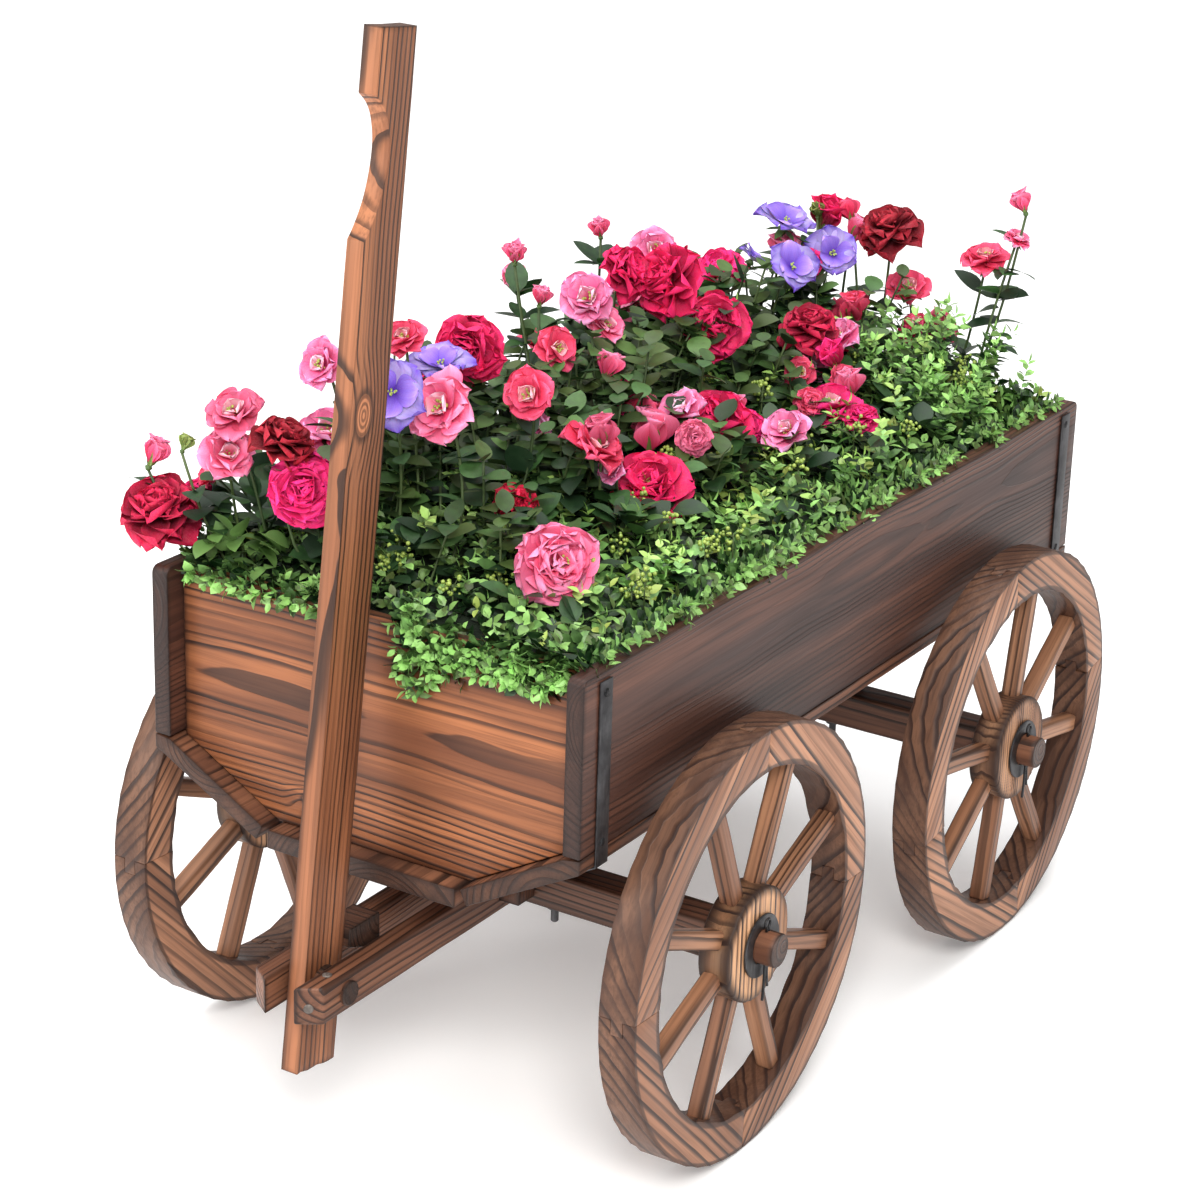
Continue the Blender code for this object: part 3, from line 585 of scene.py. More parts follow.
RIM_IN, RIM_T, RIM_OUT_X = 0.1277, 0.0280, 0.2200
RIM_MID, RIM_HALF = 0.14385, 0.01615
SPOKE_X = 0.2075
HUB_X, HUB_R, HUB_HALF = 0.210, 0.0420, 0.0130
HUB_FACE_X, HUB_BORE = 0.2190, 0.0135
FINGER = math.radians(2.0)


def build_felloe(name, node, body, sign, center, turn, q, seed):
    """A quarter of the rim, finger-jointed to its neighbours at both ends."""
    slack = 0.00013
    quarter = math.pi / 2
    third = RIM_T / 3
    x0 = RIM_OUT_X - RIM_T
    xs = [x0 + t for t in (0.0, third - slack, third + slack, 2 * third - slack,
                           2 * third + slack, RIM_T)]
    steps = 26
    spare = slack / WHEEL_R
    angles = [-FINGER + spare, FINGER + spare]
    angles += [FINGER + (quarter - 2 * FINGER) * s / steps for s in range(1, steps)]
    angles += [quarter - FINGER - spare, quarter + FINGER - spare]
    last = len(angles) - 2
    filled = {(i, 0, k) for i in range(last + 1) for k in range(5)
              if not (i == 0 and k not in (0, 4)) and not (i == last and k != 2)}
    bm = cells_bm(angles, [RIM_IN, WHEEL_R], xs, filled)
    for v in bm.verts:
        a = math.atan2(v.co.z, v.co.y)
        r = math.hypot(v.co.y, v.co.z)
        facet = (a * 14 / quarter) % 1.0
        flat = 0.0008 * math.sin(math.pi * facet)
        wave = noise.noise(Vector((a * 7, seed * 3.1, v.co.x * 12)))
        if r > 0.14:
            r -= flat + 0.0011 * (0.5 + 0.5 * wave)
        else:
            r += 0.0022 * noise.noise(Vector((a * 11, seed * 5.7, 3.0)))
        v.co.y, v.co.z = r * math.cos(a), r * math.sin(a)
    bmesh.ops.recalc_face_normals(bm, faces=bm.faces)
    round_edges(bm, 0.0009, 2, 40.0)
    spin = Matrix.Rotation(turn + q * quarter, 4, "X")
    for v in bm.verts:
        p = spin @ v.co
        v.co = Vector((sign * p.x, center.y + p.y, center.z + p.z))
    mesh = bm_to_mesh(bm, name, 30.0)
    mid = turn + (q + 0.5) * quarter
    radial = np.array((0.0, math.cos(mid), math.sin(mid)))
    chord = np.array((0.0, -math.sin(mid), math.cos(mid)))
    middle = np.array((0.0, center.y, center.z))

    def arc(co):
        rel = co - middle
        ang = np.arctan2(rel @ chord, rel @ radial)
        rad = np.hypot(rel[:, 1], rel[:, 2])
        flat = np.stack([ang * 0.144, rad - RIM_MID,
                         np.abs(co[:, 0]) - RIM_OUT_X + RIM_T / 2], 1)
        return flat, np.array((0.5, RIM_HALF, RIM_T / 2))

    def grain(co):
        rel = co - middle
        return np.stack([rel @ chord, rel @ radial - 0.12, np.abs(co[:, 0]) - 0.206], 1)

    wood_tags(mesh, (X, Y, Z), seed, (-0.20 if q % 2 else 0.24, -0.16), grain=grain, arc=arc)
    add_piece(name, mesh, WOOD_RIM, body, "wood_rim", node)


def build_spokes(name, body, sign, center, turn, seed):
    """Eight square spokes, one mesh, each tagged along its own length."""
    meshes = []
    for s in range(8):
        h = 0.0070
        bm = prism_bm([(-h, -h), (h, -h), (h, h), (-h, h)], "X", 0.0370, RIM_IN + 0.0014)
        round_edges(bm, 0.0026, 3)
        slice_along(bm, X, 0.012)
        hand_worn(bm, 0.0006, 55.0, seed + s)
        mesh = bm_to_mesh(bm, f"{name}_{s}")
        wood_tags(mesh, (X, Y, Z), seed + s * 1.7, (0.020 + 0.004 * s, -0.028))
        place = Matrix.Rotation(turn + 2 * math.pi * (s + 0.5) / 8, 4, "X") @ Matrix(
            ((0, 0, 1, SPOKE_X), (1, 0, 0, 0), (0, 1, 0, 0), (0, 0, 0, 1)))
        mesh.transform(place)
        meshes.append(mesh)
    bm = bmesh.new()
    for mesh in meshes:
        bm.from_mesh(mesh)
        bpy.data.meshes.remove(mesh)
    for v in bm.verts:
        v.co = Vector((sign * v.co.x, center.y + v.co.y, center.z + v.co.z))
    add_piece(name, bm_to_mesh(bm, name), WOOD_SPOKE, body, "wood_hub")


def build_hub(name, node, body, sign, center, fine, seed):
    """Turned hub: a ribbed face, a scorched rounded edge and a rough side."""
    profile = [(0.01262, 0.1970), (0.0250, 0.1970), (0.0385, 0.1970), (0.0408, 0.1978),
               (0.0417, 0.1992), (0.0419, 0.2040), (0.0414, 0.2085), (0.0419, 0.2130),
               (0.0420, 0.2165)]
    for k in range(1, 7):
        a = math.radians(15.0 * k)
        profile.append((0.0385 + 0.0035 * math.cos(a), 0.2195 + 0.0033 * math.sin(a)))
    profile += [(0.0385 - 0.0012 * k, 0.22295) for k in range(1, 22)]
    profile += [(0.01262, 0.22295)]
    bm = bmesh.new()
    count = 128
    rings = [[bm.verts.new((x, r * math.cos(2 * math.pi * k / count),
                            r * math.sin(2 * math.pi * k / count))) for k in range(count)]
             for r, x in profile]
    for low, high in zip(rings, rings[1:] + rings[:1]):
        for k in range(count):
            bm.faces.new([low[k], low[(k + 1) % count], high[(k + 1) % count], high[k]])
    bmesh.ops.recalc_face_normals(bm, faces=bm.faces)
    pitch = 0.0040 if fine else 0.0085
    for v in bm.verts:
        r = math.hypot(v.co.y, v.co.z)
        if v.co.x > HUB_FACE_X and r > HUB_BORE:
            rib = 0.5 + 0.5 * math.sin(2 * math.pi * v.co.y / pitch
                                       + 1.3 * noise.noise(v.co * 40 + Vector((seed, 0, 0))))
            v.co.x -= 0.0007 * (1 - rib) * min(1.0, (r - HUB_BORE) / 0.003)
        elif r > 0.040 and 0.200 < v.co.x < 0.217:
            rough = noise.noise(v.co * 130 + Vector((seed, 2, 0)))
            cut = 1.0 - 0.016 * (0.5 + 0.5 * rough)
            v.co.y *= cut
            v.co.z *= cut
    for v in bm.verts:
        v.co = Vector((sign * v.co.x, center.y + v.co.y, center.z + v.co.z))
    mesh = bm_to_mesh(bm, name, 50.0)
    middle = np.array((0.0, center.y, center.z))

    def arc(co):
        rel = co - middle
        rad = np.hypot(rel[:, 1], rel[:, 2])
        inward = 0.28 * (HUB_HALF - np.abs(np.abs(co[:, 0]) - HUB_X))
        return (np.stack([np.zeros(len(co)), rad, HUB_HALF - inward], 1),
                np.array((0.5, HUB_R, HUB_HALF)))

    wood_tags(mesh, (Z, Y, X), seed, (0.31, 0.0), arc=arc,
              grain=lambda co: (co - middle)[:, ::-1] - np.array((0.0, 0.0, HUB_X * sign)))
    add_piece(name, mesh, WOOD_HUB_FINE if fine else WOOD_HUB, body, "wood_hub", node)


def tube_mesh(name, path, radius, sides):
    """Round wire along a path, closed at both ends."""
    path = [Vector(p) for p in path]
    bm = bmesh.new()
    side, rings = None, []
    for i, p in enumerate(path):
        t = (path[min(i + 1, len(path) - 1)] - path[max(i - 1, 0)]).normalized()
        if side is None:
            side = t.orthogonal().normalized()
        side = (side - side.dot(t) * t).normalized()
        up = t.cross(side)
        rings.append([bm.verts.new(p + radius * (math.cos(a) * side + math.sin(a) * up))
                      for a in (2 * math.pi * k / sides for k in range(sides))])
    for low, high in zip(rings, rings[1:]):
        for k in range(sides):
            bm.faces.new([low[k], low[(k + 1) % sides], high[(k + 1) % sides], high[k]])
    bm.faces.new(rings[0][::-1])
    bm.faces.new(rings[-1])
    return bm_to_mesh(bm, name, 50.0)


def build_wheel_set():
    for word, y, phase in (("front", FRONT_Y, 0.0), ("rear", REAR_Y, math.radians(11.7))):
        for sign, side in SIDES:
            name = f"{word}_{side}"
            body = f"{name}_wheel"
            center = Vector((0, y, WHEEL_R))
            turn = phase if sign > 0 else -phase * 0.5
            seed = 2.0 * (word == "rear") + (sign < 0) + 0.37
            for q in range(4):
                build_felloe(f"{name}_felloe_{q + 1}_wood", f"{name}_felloe_{q + 1}", body,
                             sign, center, turn, q, seed * 4 + q)
            build_spokes(f"{name}_spokes", body, sign, center, turn, seed * 9)
            build_hub(f"{name}_hub_wood", f"{name}_hub_and_spokes", body, sign, center,
                      word == "rear", seed * 5)
            build_axle_end(name, sign, y, seed)


def build_axle_end(name, sign, y, seed):
    x0 = 0.2233
    ring = [(0.0130, x0), (0.0228, x0), (0.0233, x0 + 0.0004), (0.0233, x0 + 0.0013),
            (0.0228, x0 + 0.0018), (0.0134, x0 + 0.0018), (0.0130, x0 + 0.0015)]
    lathe_x(f"{name}_washer_steel", ring, (y, WHEEL_R), sign, 72, STEEL,
            "black_steel", [f"{name}_washer"])
    lathe_x(f"{name}_axle_stub", [(0.0, 0.190), (0.0123, 0.190), (0.0124, 0.2270),
                                  (0.0123, 0.2340), (0.01235, 0.2378), (0.0117, 0.2387),
                                  (0.0060, 0.2388), (0.0, 0.2387)],
            (y, WHEEL_R), sign, 48, WOOD_ARM, "wood_under", [], seed * 3,
            (0.004, 0.002), 0.00015, (X, Y, Z))
    leg, eye, px = 0.0013, 0.0034, sign * 0.2282
    top = WHEEL_R + 0.0140
    path = [(px, y - leg - 0.0014, WHEEL_R - 0.0400), (px, y - leg - 0.0004, WHEEL_R - 0.0300),
            (px, y - leg, WHEEL_R - 0.0160), (px, y - leg, WHEEL_R), (px, y - leg, top)]
    for k in range(21):
        a = math.radians(236.0 - 14.6 * k)
        path.append((px, y + eye * math.cos(a), top + 0.0042 + eye * math.sin(a)))
    path += [(px, y + leg, top), (px, y + leg, WHEEL_R), (px, y + leg, WHEEL_R - 0.0160),
             (px, y + leg + 0.0008, WHEEL_R - 0.0240), (px, y + leg + 0.0020, WHEEL_R - 0.0310)]
    add_piece(f"{name}_split_pin_wire", tube_mesh(f"{name}_split_pin_wire", path, 0.00105, 12),
              WIRE, "wagon", "black_steel", f"{name}_split_pin")


# ---- running gear, tongue and handle ---------------------------------------
def build_gear():
    for word, y, seed in (("front", FRONT_Y, 5.1), ("rear", REAR_Y, 6.7)):
        beam = [(y - 0.0145, 0.1445), (y + 0.0145, 0.1445), (y + 0.0145, 0.1735),
                (y - 0.0145, 0.1735)]
        timber(f"{word}_axle_beam", beam, "X", -0.1955, 0.1955, (X, Y, Z), WOOD_UNDER,
               "wood_under", seed, (0.022, -0.030), width=0.0022, worn=0.0005)
        boxed(f"{word}_bolster", "Z", (X, Y, Z), WOOD_UNDER, "wood_under", seed + 1,
              (0.01, -0.03), width=0.0015)
    for sign, word in SIDES:
        lo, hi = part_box(f"{word}_tongue_arm")
        x0, x1 = sorted((abs(lo.x), abs(hi.x)))
        outline = [(sign * x0, lo.y), (sign * x1, lo.y + 0.0117), (sign * x1, hi.y),
                   (sign * x0, hi.y)]
        timber(f"{word}_tongue_arm", outline, "Z", lo.z, hi.z, (Y, Z, X), WOOD_ARM,
               "wood_under", 8.3 + sign, (0.020, 0.018), width=0.0018, worn=0.0006, step=0.014)
        boxed(f"{word}_corner_block", "Z", (Z, X, Y), WOOD_UNDER, "wood_under", 9.9 + sign,
              (0.01, 0.01), width=0.0009)
        near, far = 0.0073, 0.0114
        ring = [(0.0091, near), (0.0132, near), (0.0135, near + 0.0003), (0.0135, far - 0.0003),
                (0.0132, far), (0.0091, far)]
        lathe_x(f"{word}_pivot_spacer_wood", ring, (PIVOT.y, PIVOT.z), sign, 48, WOOD_UNDER,
                "wood_under", [f"{word}_pivot_spacer"], 1.0, (0.03, 0.0), 0.0,
                (Z, Y, X))
    lo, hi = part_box("pivot_peg")
    reach, r = hi.x, (hi.y - lo.y) / 2
    peg = [(0.0, -reach), (r - 0.0008, -reach), (r, -reach + 0.0008), (r, reach - 0.0008),
           (r - 0.0008, reach), (0.0, reach)]
    lathe_x("pivot_peg_wood", peg, (PIVOT.y, PIVOT.z), 1, 48, WOOD_UNDER,
            "wood_front", ["pivot_peg"], 4.1, (0.012, 0.006), 0.00012, (X, Y, Z))
    lo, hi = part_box("stop_block")
    cut = lo.z + 0.0065
    lean = math.tan(HANDLE_TILT) * (hi.z - cut)
    stop = [(lo.y, cut), (PIVOT.y + 0.0410, lo.z), (hi.y, lo.z), (hi.y, hi.z),
            (lo.y + lean, hi.z)]
    timber("stop_block", stop, "X", lo.x, hi.x, (X, Y, Z), WOOD_UNDER, "wood_under",
           3.3, (0.02, 0.01), width=0.0008)
    lo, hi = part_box("right_tongue_arm")
    dome("tongue_screw_top", (0.0185, PIVOT.y - 0.0100, hi.z), Z, 0.0034, 0.0009, SCREW,
         True)
    face = Vector((0.0117, -0.0171, 0)).normalized()
    dome("tongue_screw_end", (0.0203, lo.y + 0.0060, 0.1545), face, 0.0034, 0.0009, SCREW,
         True)
    for node, obj in NODES.items():
        if node.endswith("_bolt_and_nut"):
            obj.data.materials.clear()
            obj.data.materials.append(STEEL)


def spline(points, parts):
    """Catmull-Rom through 2D points."""
    out = []
    pts = [Vector(p) for p in points]
    for i in range(len(pts) - 1):
        p0, p1 = pts[max(i - 1, 0)], pts[i]
        p2, p3 = pts[i + 1], pts[min(i + 2, len(pts) - 1)]
        for k in range(parts):
            t = k / parts
            out.append(0.5 * ((2 * p1) + (p2 - p0) * t + (2 * p0 - 5 * p1 + 4 * p2 - p3) * t * t
                              + (3 * p1 - p0 - 3 * p2 + p3) * t ** 3))
    return out + [pts[-1]]


def build_handle():
    up, down = 0.6370, 0.0608
    wide, thick = 0.0415, 0.0140
    foot = wide / 2

    def depth(s):
        return wide - 0.0030 * (s + down) / (up + down)

    notch = spline([(0.5030, 0.0), (0.5110, 0.0055), (0.5250, 0.0125), (0.5400, 0.0168),
                    (0.5540, 0.0186), (0.5670, 0.0180), (0.5800, 0.0140), (0.5880, 0.0085),
                    (0.5930, 0.0020), (0.5945, 0.0)], 3)
    flat = [(-down, -foot + 0.0295), (-down + 0.0012, -foot + 0.022),
            (-down + 0.0002, -foot + 0.012), (-down + 0.0015, -foot + 0.004),
            (-down + 0.0005, -foot)]
    flat += [(s, -depth(s) + foot + cut) for s, cut in notch]
    flat += [(up, -depth(up) + foot), (up - 0.0004, 0.0), (up, foot),
             (-down + 0.0008, foot), (-down, foot - 0.006)]
    along = Vector((0, math.sin(HANDLE_TILT), math.cos(HANDLE_TILT)))
    back = Vector((0, math.cos(HANDLE_TILT), -math.sin(HANDLE_TILT)))
    outline = []
    for s, across in flat:
        p = PIVOT + s * along + across * back
        outline.append((p.y, p.z))
    bm = prism_bm(outline, "X", -thick / 2, thick / 2)
    round_edges(bm, 0.0013, 3, 28.0)
    slice_along(bm, along, 0.013)
    hand_worn(bm, 0.0004, 40.0, 1.0)
    mesh = bm_to_mesh(bm, "pull_handle_wood", 32.0)
    wood_tags(mesh, (along, back, X), 12.2, (0.062, 0.014), (0.1020, -0.0040, 0.0088))
    add_piece("pull_handle_wood", mesh, WOOD_HANDLE, "handle", "wood_front", "pull_handle")


# ---- planting -------------------------------------------------------------
BED_LO, BED_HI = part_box("planting_bed")
END_LO, END_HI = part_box("front_end_board")
RIM_Z = END_HI.z
BED_X = BED_HI.x
Y0, Y1 = BED_LO.y, BED_HI.y


def clamp(value, low, high):
    return max(low, min(high, value))


def lengthwise(y):
    """From -1 at the front end of the bed to 1 at its rear end."""
    return (2 * y - Y0 - Y1) / (Y1 - Y0)


def canopy(x, y):
    """Height of the small-leaf surface over the trough."""
    ex = 1 - min(1.0, abs(x) / BED_X) ** 4
    ey = 1 - min(1.0, abs(lengthwise(y))) ** 6
    crown = 0.020 + 0.016 * clamp((0.10 - x) / 0.2, 0.0, 1.0)
    crown += 0.014 * clamp((y - 0.10) / 0.25, 0.0, 1.0)
    lump = noise.noise(Vector((x * 13, y * 13, 1.7))) * 0.012
    lump += noise.noise(Vector((x * 34, y * 34, 4.1))) * 0.006
    return RIM_Z + 0.004 + (crown + lump) * ex * ey


LIFT = 0.12  # how far the planting lifts, in metres
HANDLE_CLEAR = 0.012  # half the width that is kept free of leaves
HANDLE_BACK = 0.0240  # from the peg to just behind the handle, along Y
HANDLE_SLOPE = 0.1279  # tangent of the handle's tilt


def meets_handle(p, q):
    """Whether a leaf from p to q would touch the upright handle during the lift."""
    if min(p.x, q.x) > HANDLE_CLEAR or max(p.x, q.x) < -HANDLE_CLEAR:
        return False
    top = max(p.z, q.z) + LIFT
    return min(p.y, q.y) < PIVOT.y + HANDLE_BACK + (top - PIVOT.z) * HANDLE_SLOPE


class Blades:
    """Collects many small bent leaves into one mesh."""

    def __init__(self):
        self.co, self.faces, self.tone = [], [], []

    def leaf(self, p, d, n, length, width, bright, yellow=0.0, cup=0.25, droop=0.20, rows=2):
        if meets_handle(p, p + d * length):
            return
        side = d.cross(n).normalized()
        n = side.cross(d).normalized()
        base = len(self.co)
        steps = [k / (rows + 1) for k in range(1, rows + 1)]
        self.co.append(p)
        self.tone.append((bright, yellow, 0.0))
        for s in steps:
            half = 0.5 * width * math.sin(math.pi * s ** 0.85) ** 0.8
            mid = p + d * (length * s) - n * (droop * length * s * s)
            for t in (-1, 0, 1):
                self.co.append(mid + side * (half * t) + n * (abs(t) * half * cup))
                self.tone.append((bright, yellow, s))
        self.co.append(p + d * length * 0.98 - n * (droop * length))
        self.tone.append((bright, yellow, 1.0))
        last = len(self.co) - 1
        self.faces += [(base, base + 2, base + 1), (base, base + 3, base + 2)]
        for r in range(rows - 1):
            a = base + 1 + 3 * r
            self.faces += [(a, a + 1, a + 4, a + 3), (a + 1, a + 2, a + 5, a + 4)]
        a = last - 3
        self.faces += [(a, a + 1, last), (a + 1, a + 2, last)]

    def stem(self, path, radius, bright):
        rings = []
        for i, p in enumerate(path):
            t = (path[min(i + 1, len(path) - 1)] - path[max(i - 1, 0)]).normalized()
            side = t.orthogonal().normalized()
            up = t.cross(side)
            rings.append(len(self.co))
            for k in range(5):
                a = 2 * math.pi * k / 5
                self.co.append(p + radius * (math.cos(a) * side + math.sin(a) * up))
                self.tone.append((bright, 0.0, 1.0))
        for low, high in zip(rings, rings[1:]):
            for k in range(5):
                j = (k + 1) % 5
                self.faces.append((low + k, low + j, high + j, high + k))
        self.faces.append(tuple(rings[0] + k for k in range(4, -1, -1)))
        self.faces.append(tuple(rings[-1] + k for k in range(5)))

    def ball(self, p, r, bright, yellow=0.0):
        ico = [(0, 0, 1), (0.894, 0, 0.447), (0.276, 0.851, 0.447), (-0.724, 0.526, 0.447),
               (-0.724, -0.526, 0.447), (0.276, -0.851, 0.447), (0.724, 0.526, -0.447),
               (-0.276, 0.851, -0.447), (-0.894, 0, -0.447), (-0.276, -0.851, -0.447),
               (0.724, -0.526, -0.447), (0, 0, -1)]
        base = len(self.co)
        for q in ico:
            self.co.append(p + Vector(q) * r)
            self.tone.append((bright, yellow, 1.0))
        for a in range(5):
            b = (a + 1) % 5
            self.faces += [(base, base + 1 + a, base + 1 + b),
                           (base + 1 + a, base + 6 + a, base + 1 + b),
                           (base + 1 + b, base + 6 + a, base + 6 + b),
                           (base + 11, base + 6 + b, base + 6 + a)]

    def piece(self, name, look):
        mesh = bpy.data.meshes.new(name)
        mesh.from_pydata([tuple(c) for c in self.co], [], self.faces)
        set_vectors(mesh, "tone", self.tone)
        for poly in mesh.polygons:
            poly.use_smooth = True
        return add_piece(name, mesh, look, "planting", "foliage")


def random_unit(rng):
    z = rng.uniform(-1, 1)
    a = rng.uniform(0, 2 * math.pi)
    r = math.sqrt(1 - z * z)
    return Vector((r * math.cos(a), r * math.sin(a), z))


def sprig(blades, rng, tip, heading, length, size, bright, yellow=0.0):
    """Boxwood-like twig: opposite leaf pairs, each pair turned from the last."""
    heading = heading.normalized()
    side = heading.orthogonal().normalized()
    base = tip - heading * length
    pairs = max(3, int(length / 0.0052))
    turn = rng.uniform(0, math.pi)
    for k in range(pairs):
        t = (k + 0.6) / pairs
        p = base + heading * (length * t)
        spin = Matrix.Rotation(turn + k * 1.45, 3, heading)
        for flip in (1, -1):
            out = spin @ side * flip
            d = (out * rng.uniform(0.75, 1.1) + heading * rng.uniform(0.35, 0.9)).normalized()
            reach = size * rng.uniform(0.75, 1.2) * (1.0 - 0.30 * t ** 3)
            # Leaves low on the twig are darker and those near its tip lighter: painted shade deep in the
            # foliage and painted light on top, with a random tone on each leaf.
            blades.leaf(p, d, (heading - out * 0.4 + random_unit(rng) * 0.35).normalized(),
                        reach, reach * rng.uniform(0.50, 0.68),
                        clamp(bright * (0.15 + 1.0 * t) + rng.uniform(-0.22, 0.34), 0.0, 1.0),
                        yellow * (t > 0.7))
    # The tip leaf is lighter still: painted light on top of the twig.
    blades.leaf(tip, (heading + random_unit(rng) * 0.3).normalized(), side, size * 0.7,
                size * 0.33, min(1.0, bright + 0.3), yellow)


def build_greenery():
    rng = random.Random(5)
    front, rear = Blades(), Blades()

    def half(y):
        return front if y < (Y0 + Y1) / 2 else rear

    nx, ny = 23, 46  # twigs all over the bed
    for i in range(nx):
        for j in range(ny):
            x = -BED_X + (i + rng.uniform(0.1, 0.9)) * 2 * BED_X / nx
            y = Y0 + (j + rng.uniform(0.1, 0.9)) * (Y1 - Y0) / ny
            lean = Vector((0.9 * (x / BED_X) ** 3, 0, 1.0))
            lean.y = 0.9 * lengthwise(y) ** 7
            heading = lean + random_unit(rng) * 0.55
            tip = Vector((x, y, canopy(x, y) + rng.uniform(-0.010, 0.009)))
            patch = noise.noise(Vector((x * 9, y * 9, 7.7)))
            size = 0.0132 + 0.0030 * patch
            yellow = 0.9 if rng.random() < 0.10 else 0.15
            sprig(half(y), rng, tip, heading,
                  rng.uniform(0.022, 0.034), size, 0.42 + 0.25 * patch, yellow)
    for _ in range(46):  # on the front board, at either side of the handle
        x = rng.uniform(-0.062, -0.024) if rng.random() < 0.75 else rng.uniform(0.024, 0.034)
        tip = Vector((x, END_LO.y + rng.uniform(-0.002, 0.016), RIM_Z + rng.uniform(0.004, 0.016)))
        sprig(front, rng, tip, Vector((math.copysign(rng.uniform(0.1, 0.8), x), -0.5, 0.6)),
              rng.uniform(0.018, 0.026), 0.0115, 0.38, 0.10)
    for _ in range(190):  # hanging over the front board
        x = rng.uniform(0.016, 0.158) if rng.random() < 0.78 else rng.uniform(-0.152, -0.016)
        hang = 0.006 + 0.032 * math.exp(-((x - 0.036) / 0.022) ** 2)
        hang += 0.012 * (0.02 < x < 0.14) + 0.005 * noise.noise(Vector((x * 40, 0.3, 0)))
        tip = Vector((x, END_LO.y - rng.uniform(0.0015, 0.008),
                      RIM_Z - hang * rng.uniform(-0.1, 1.0)))
        sprig(front, rng, tip,
              Vector((rng.uniform(-0.8, 0.8), -0.75, rng.uniform(-1.0, 0.5))),
              rng.uniform(0.016, 0.026), 0.0125, 0.40, 0.10)
    for _ in range(120):  # standing up out of the twigs
        x, y = rng.uniform(-0.14, 0.15), rng.uniform(Y0 + 0.05, Y1 - 0.03)
        tip = Vector((x, y, canopy(x, y) + rng.uniform(0.012, 0.022 + 0.03 * (y > 0.12))))
        sprig(half(y), rng, tip,
              Z + random_unit(rng) * 0.35, rng.uniform(0.030, 0.055), 0.0125, 0.75, 0.6)
    for _ in range(70):  # the high corner at the rear right
        x, y = rng.uniform(0.045, 0.150), rng.uniform(Y1 - 0.150, Y1 - 0.012)
        tip = Vector((x, y, canopy(x, y) + rng.uniform(0.014, 0.030 + 0.36 * (y - Y1 + 0.150))))
        sprig(rear, rng, tip, Vector((0.3, 0.1, 1.0)) + random_unit(rng) * 0.35,
              rng.uniform(0.040, 0.070), 0.0125, 0.52, 0.15)
    for _ in range(230):  # over both side boards
        y = rng.uniform(Y0, Y1)
        sign = 1 if rng.random() < 0.6 else -1
        tip = Vector((sign * (BED_X + rng.uniform(0.004, 0.015)), y,
                      RIM_Z + rng.uniform(0.003, 0.016)))
        sprig(half(y), rng, tip,
              Vector((sign * 1.0, rng.uniform(-0.4, 0.4), rng.uniform(0.1, 0.7))),
              rng.uniform(0.020, 0.028), 0.0108, 0.38, 0.15)
    for _ in range(80):  # over the rear board
        tip = Vector((rng.uniform(-0.150, 0.150), Y1 + rng.uniform(0.000, 0.012),
                      RIM_Z + rng.uniform(0.004, 0.018)))
        sprig(rear, rng, tip, Vector((rng.uniform(-0.6, 0.6), 0.8, 0.5)),
              rng.uniform(0.020, 0.030), 0.0115, 0.40, 0.15)
    obj = front.piece("small_leaves_front", LEAVES)
    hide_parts("foliage_mound")
    rear.piece("small_leaves_rear", LEAVES)


def build_core():
    """A near-black sheet of painted shade under the leaves, closing the view down to the bed, and the coir
    bed.
    """
    bm = bmesh.new()
    nx, ny = 60, 120
    grid = []
    for i in range(nx + 1):
        row = []
        for j in range(ny + 1):
            x = -BED_X + 2 * BED_X * i / nx
            y = Y0 + (Y1 - Y0) * j / ny
            z = canopy(x, y) - 0.016 + 0.006 * noise.noise(Vector((x * 90, y * 90, 0)))
            row.append(bm.verts.new((x * 0.995, y, min(z, canopy(x, y) - 0.008))))
        grid.append(row)
    floor = [[bm.verts.new((v.co.x, v.co.y, BED_HI.z + 0.0005)) for v in row] for row in grid]
    for i in range(nx):
        for j in range(ny):
            bm.faces.new([grid[i][j], grid[i + 1][j], grid[i + 1][j + 1], grid[i][j + 1]])
            bm.faces.new([floor[i][j], floor[i][j + 1], floor[i + 1][j + 1], floor[i + 1][j]])
    for j in range(ny):
        for i, flip in ((0, 1), (nx, -1)):
            quad = [grid[i][j], grid[i][j + 1], floor[i][j + 1], floor[i][j]]
            bm.faces.new(quad[::flip])
    for i in range(nx):
        for j, flip in ((0, -1), (ny, 1)):
            quad = [grid[i][j], grid[i + 1][j], floor[i + 1][j], floor[i][j]]
            bm.faces.new(quad[::flip])
    add_piece("undergrowth", bm_to_mesh(bm, "undergrowth", 80.0), SHADE_SHEET, "planting", "foliage")

    bm = prism_bm(box_outline("planting_bed", "Z"), "Z", BED_LO.z, BED_HI.z)
    round_edges(bm, 0.0030, 3)
    slice_along(bm, Y, 0.012)
    slice_along(bm, X, 0.012)
    hand_worn(bm, 0.0012, 110.0, 2.0)
    add_piece("coir_bed", bm_to_mesh(bm, "coir_bed", 60.0), COIR, "planting", "planting_bed",
              "planting_bed")


def srgb(*rgb):
    return tuple((c / 255 / 12.92 if c <= 10 else ((c / 255 + 0.055) / 1.055) ** 2.4) for c in rgb)


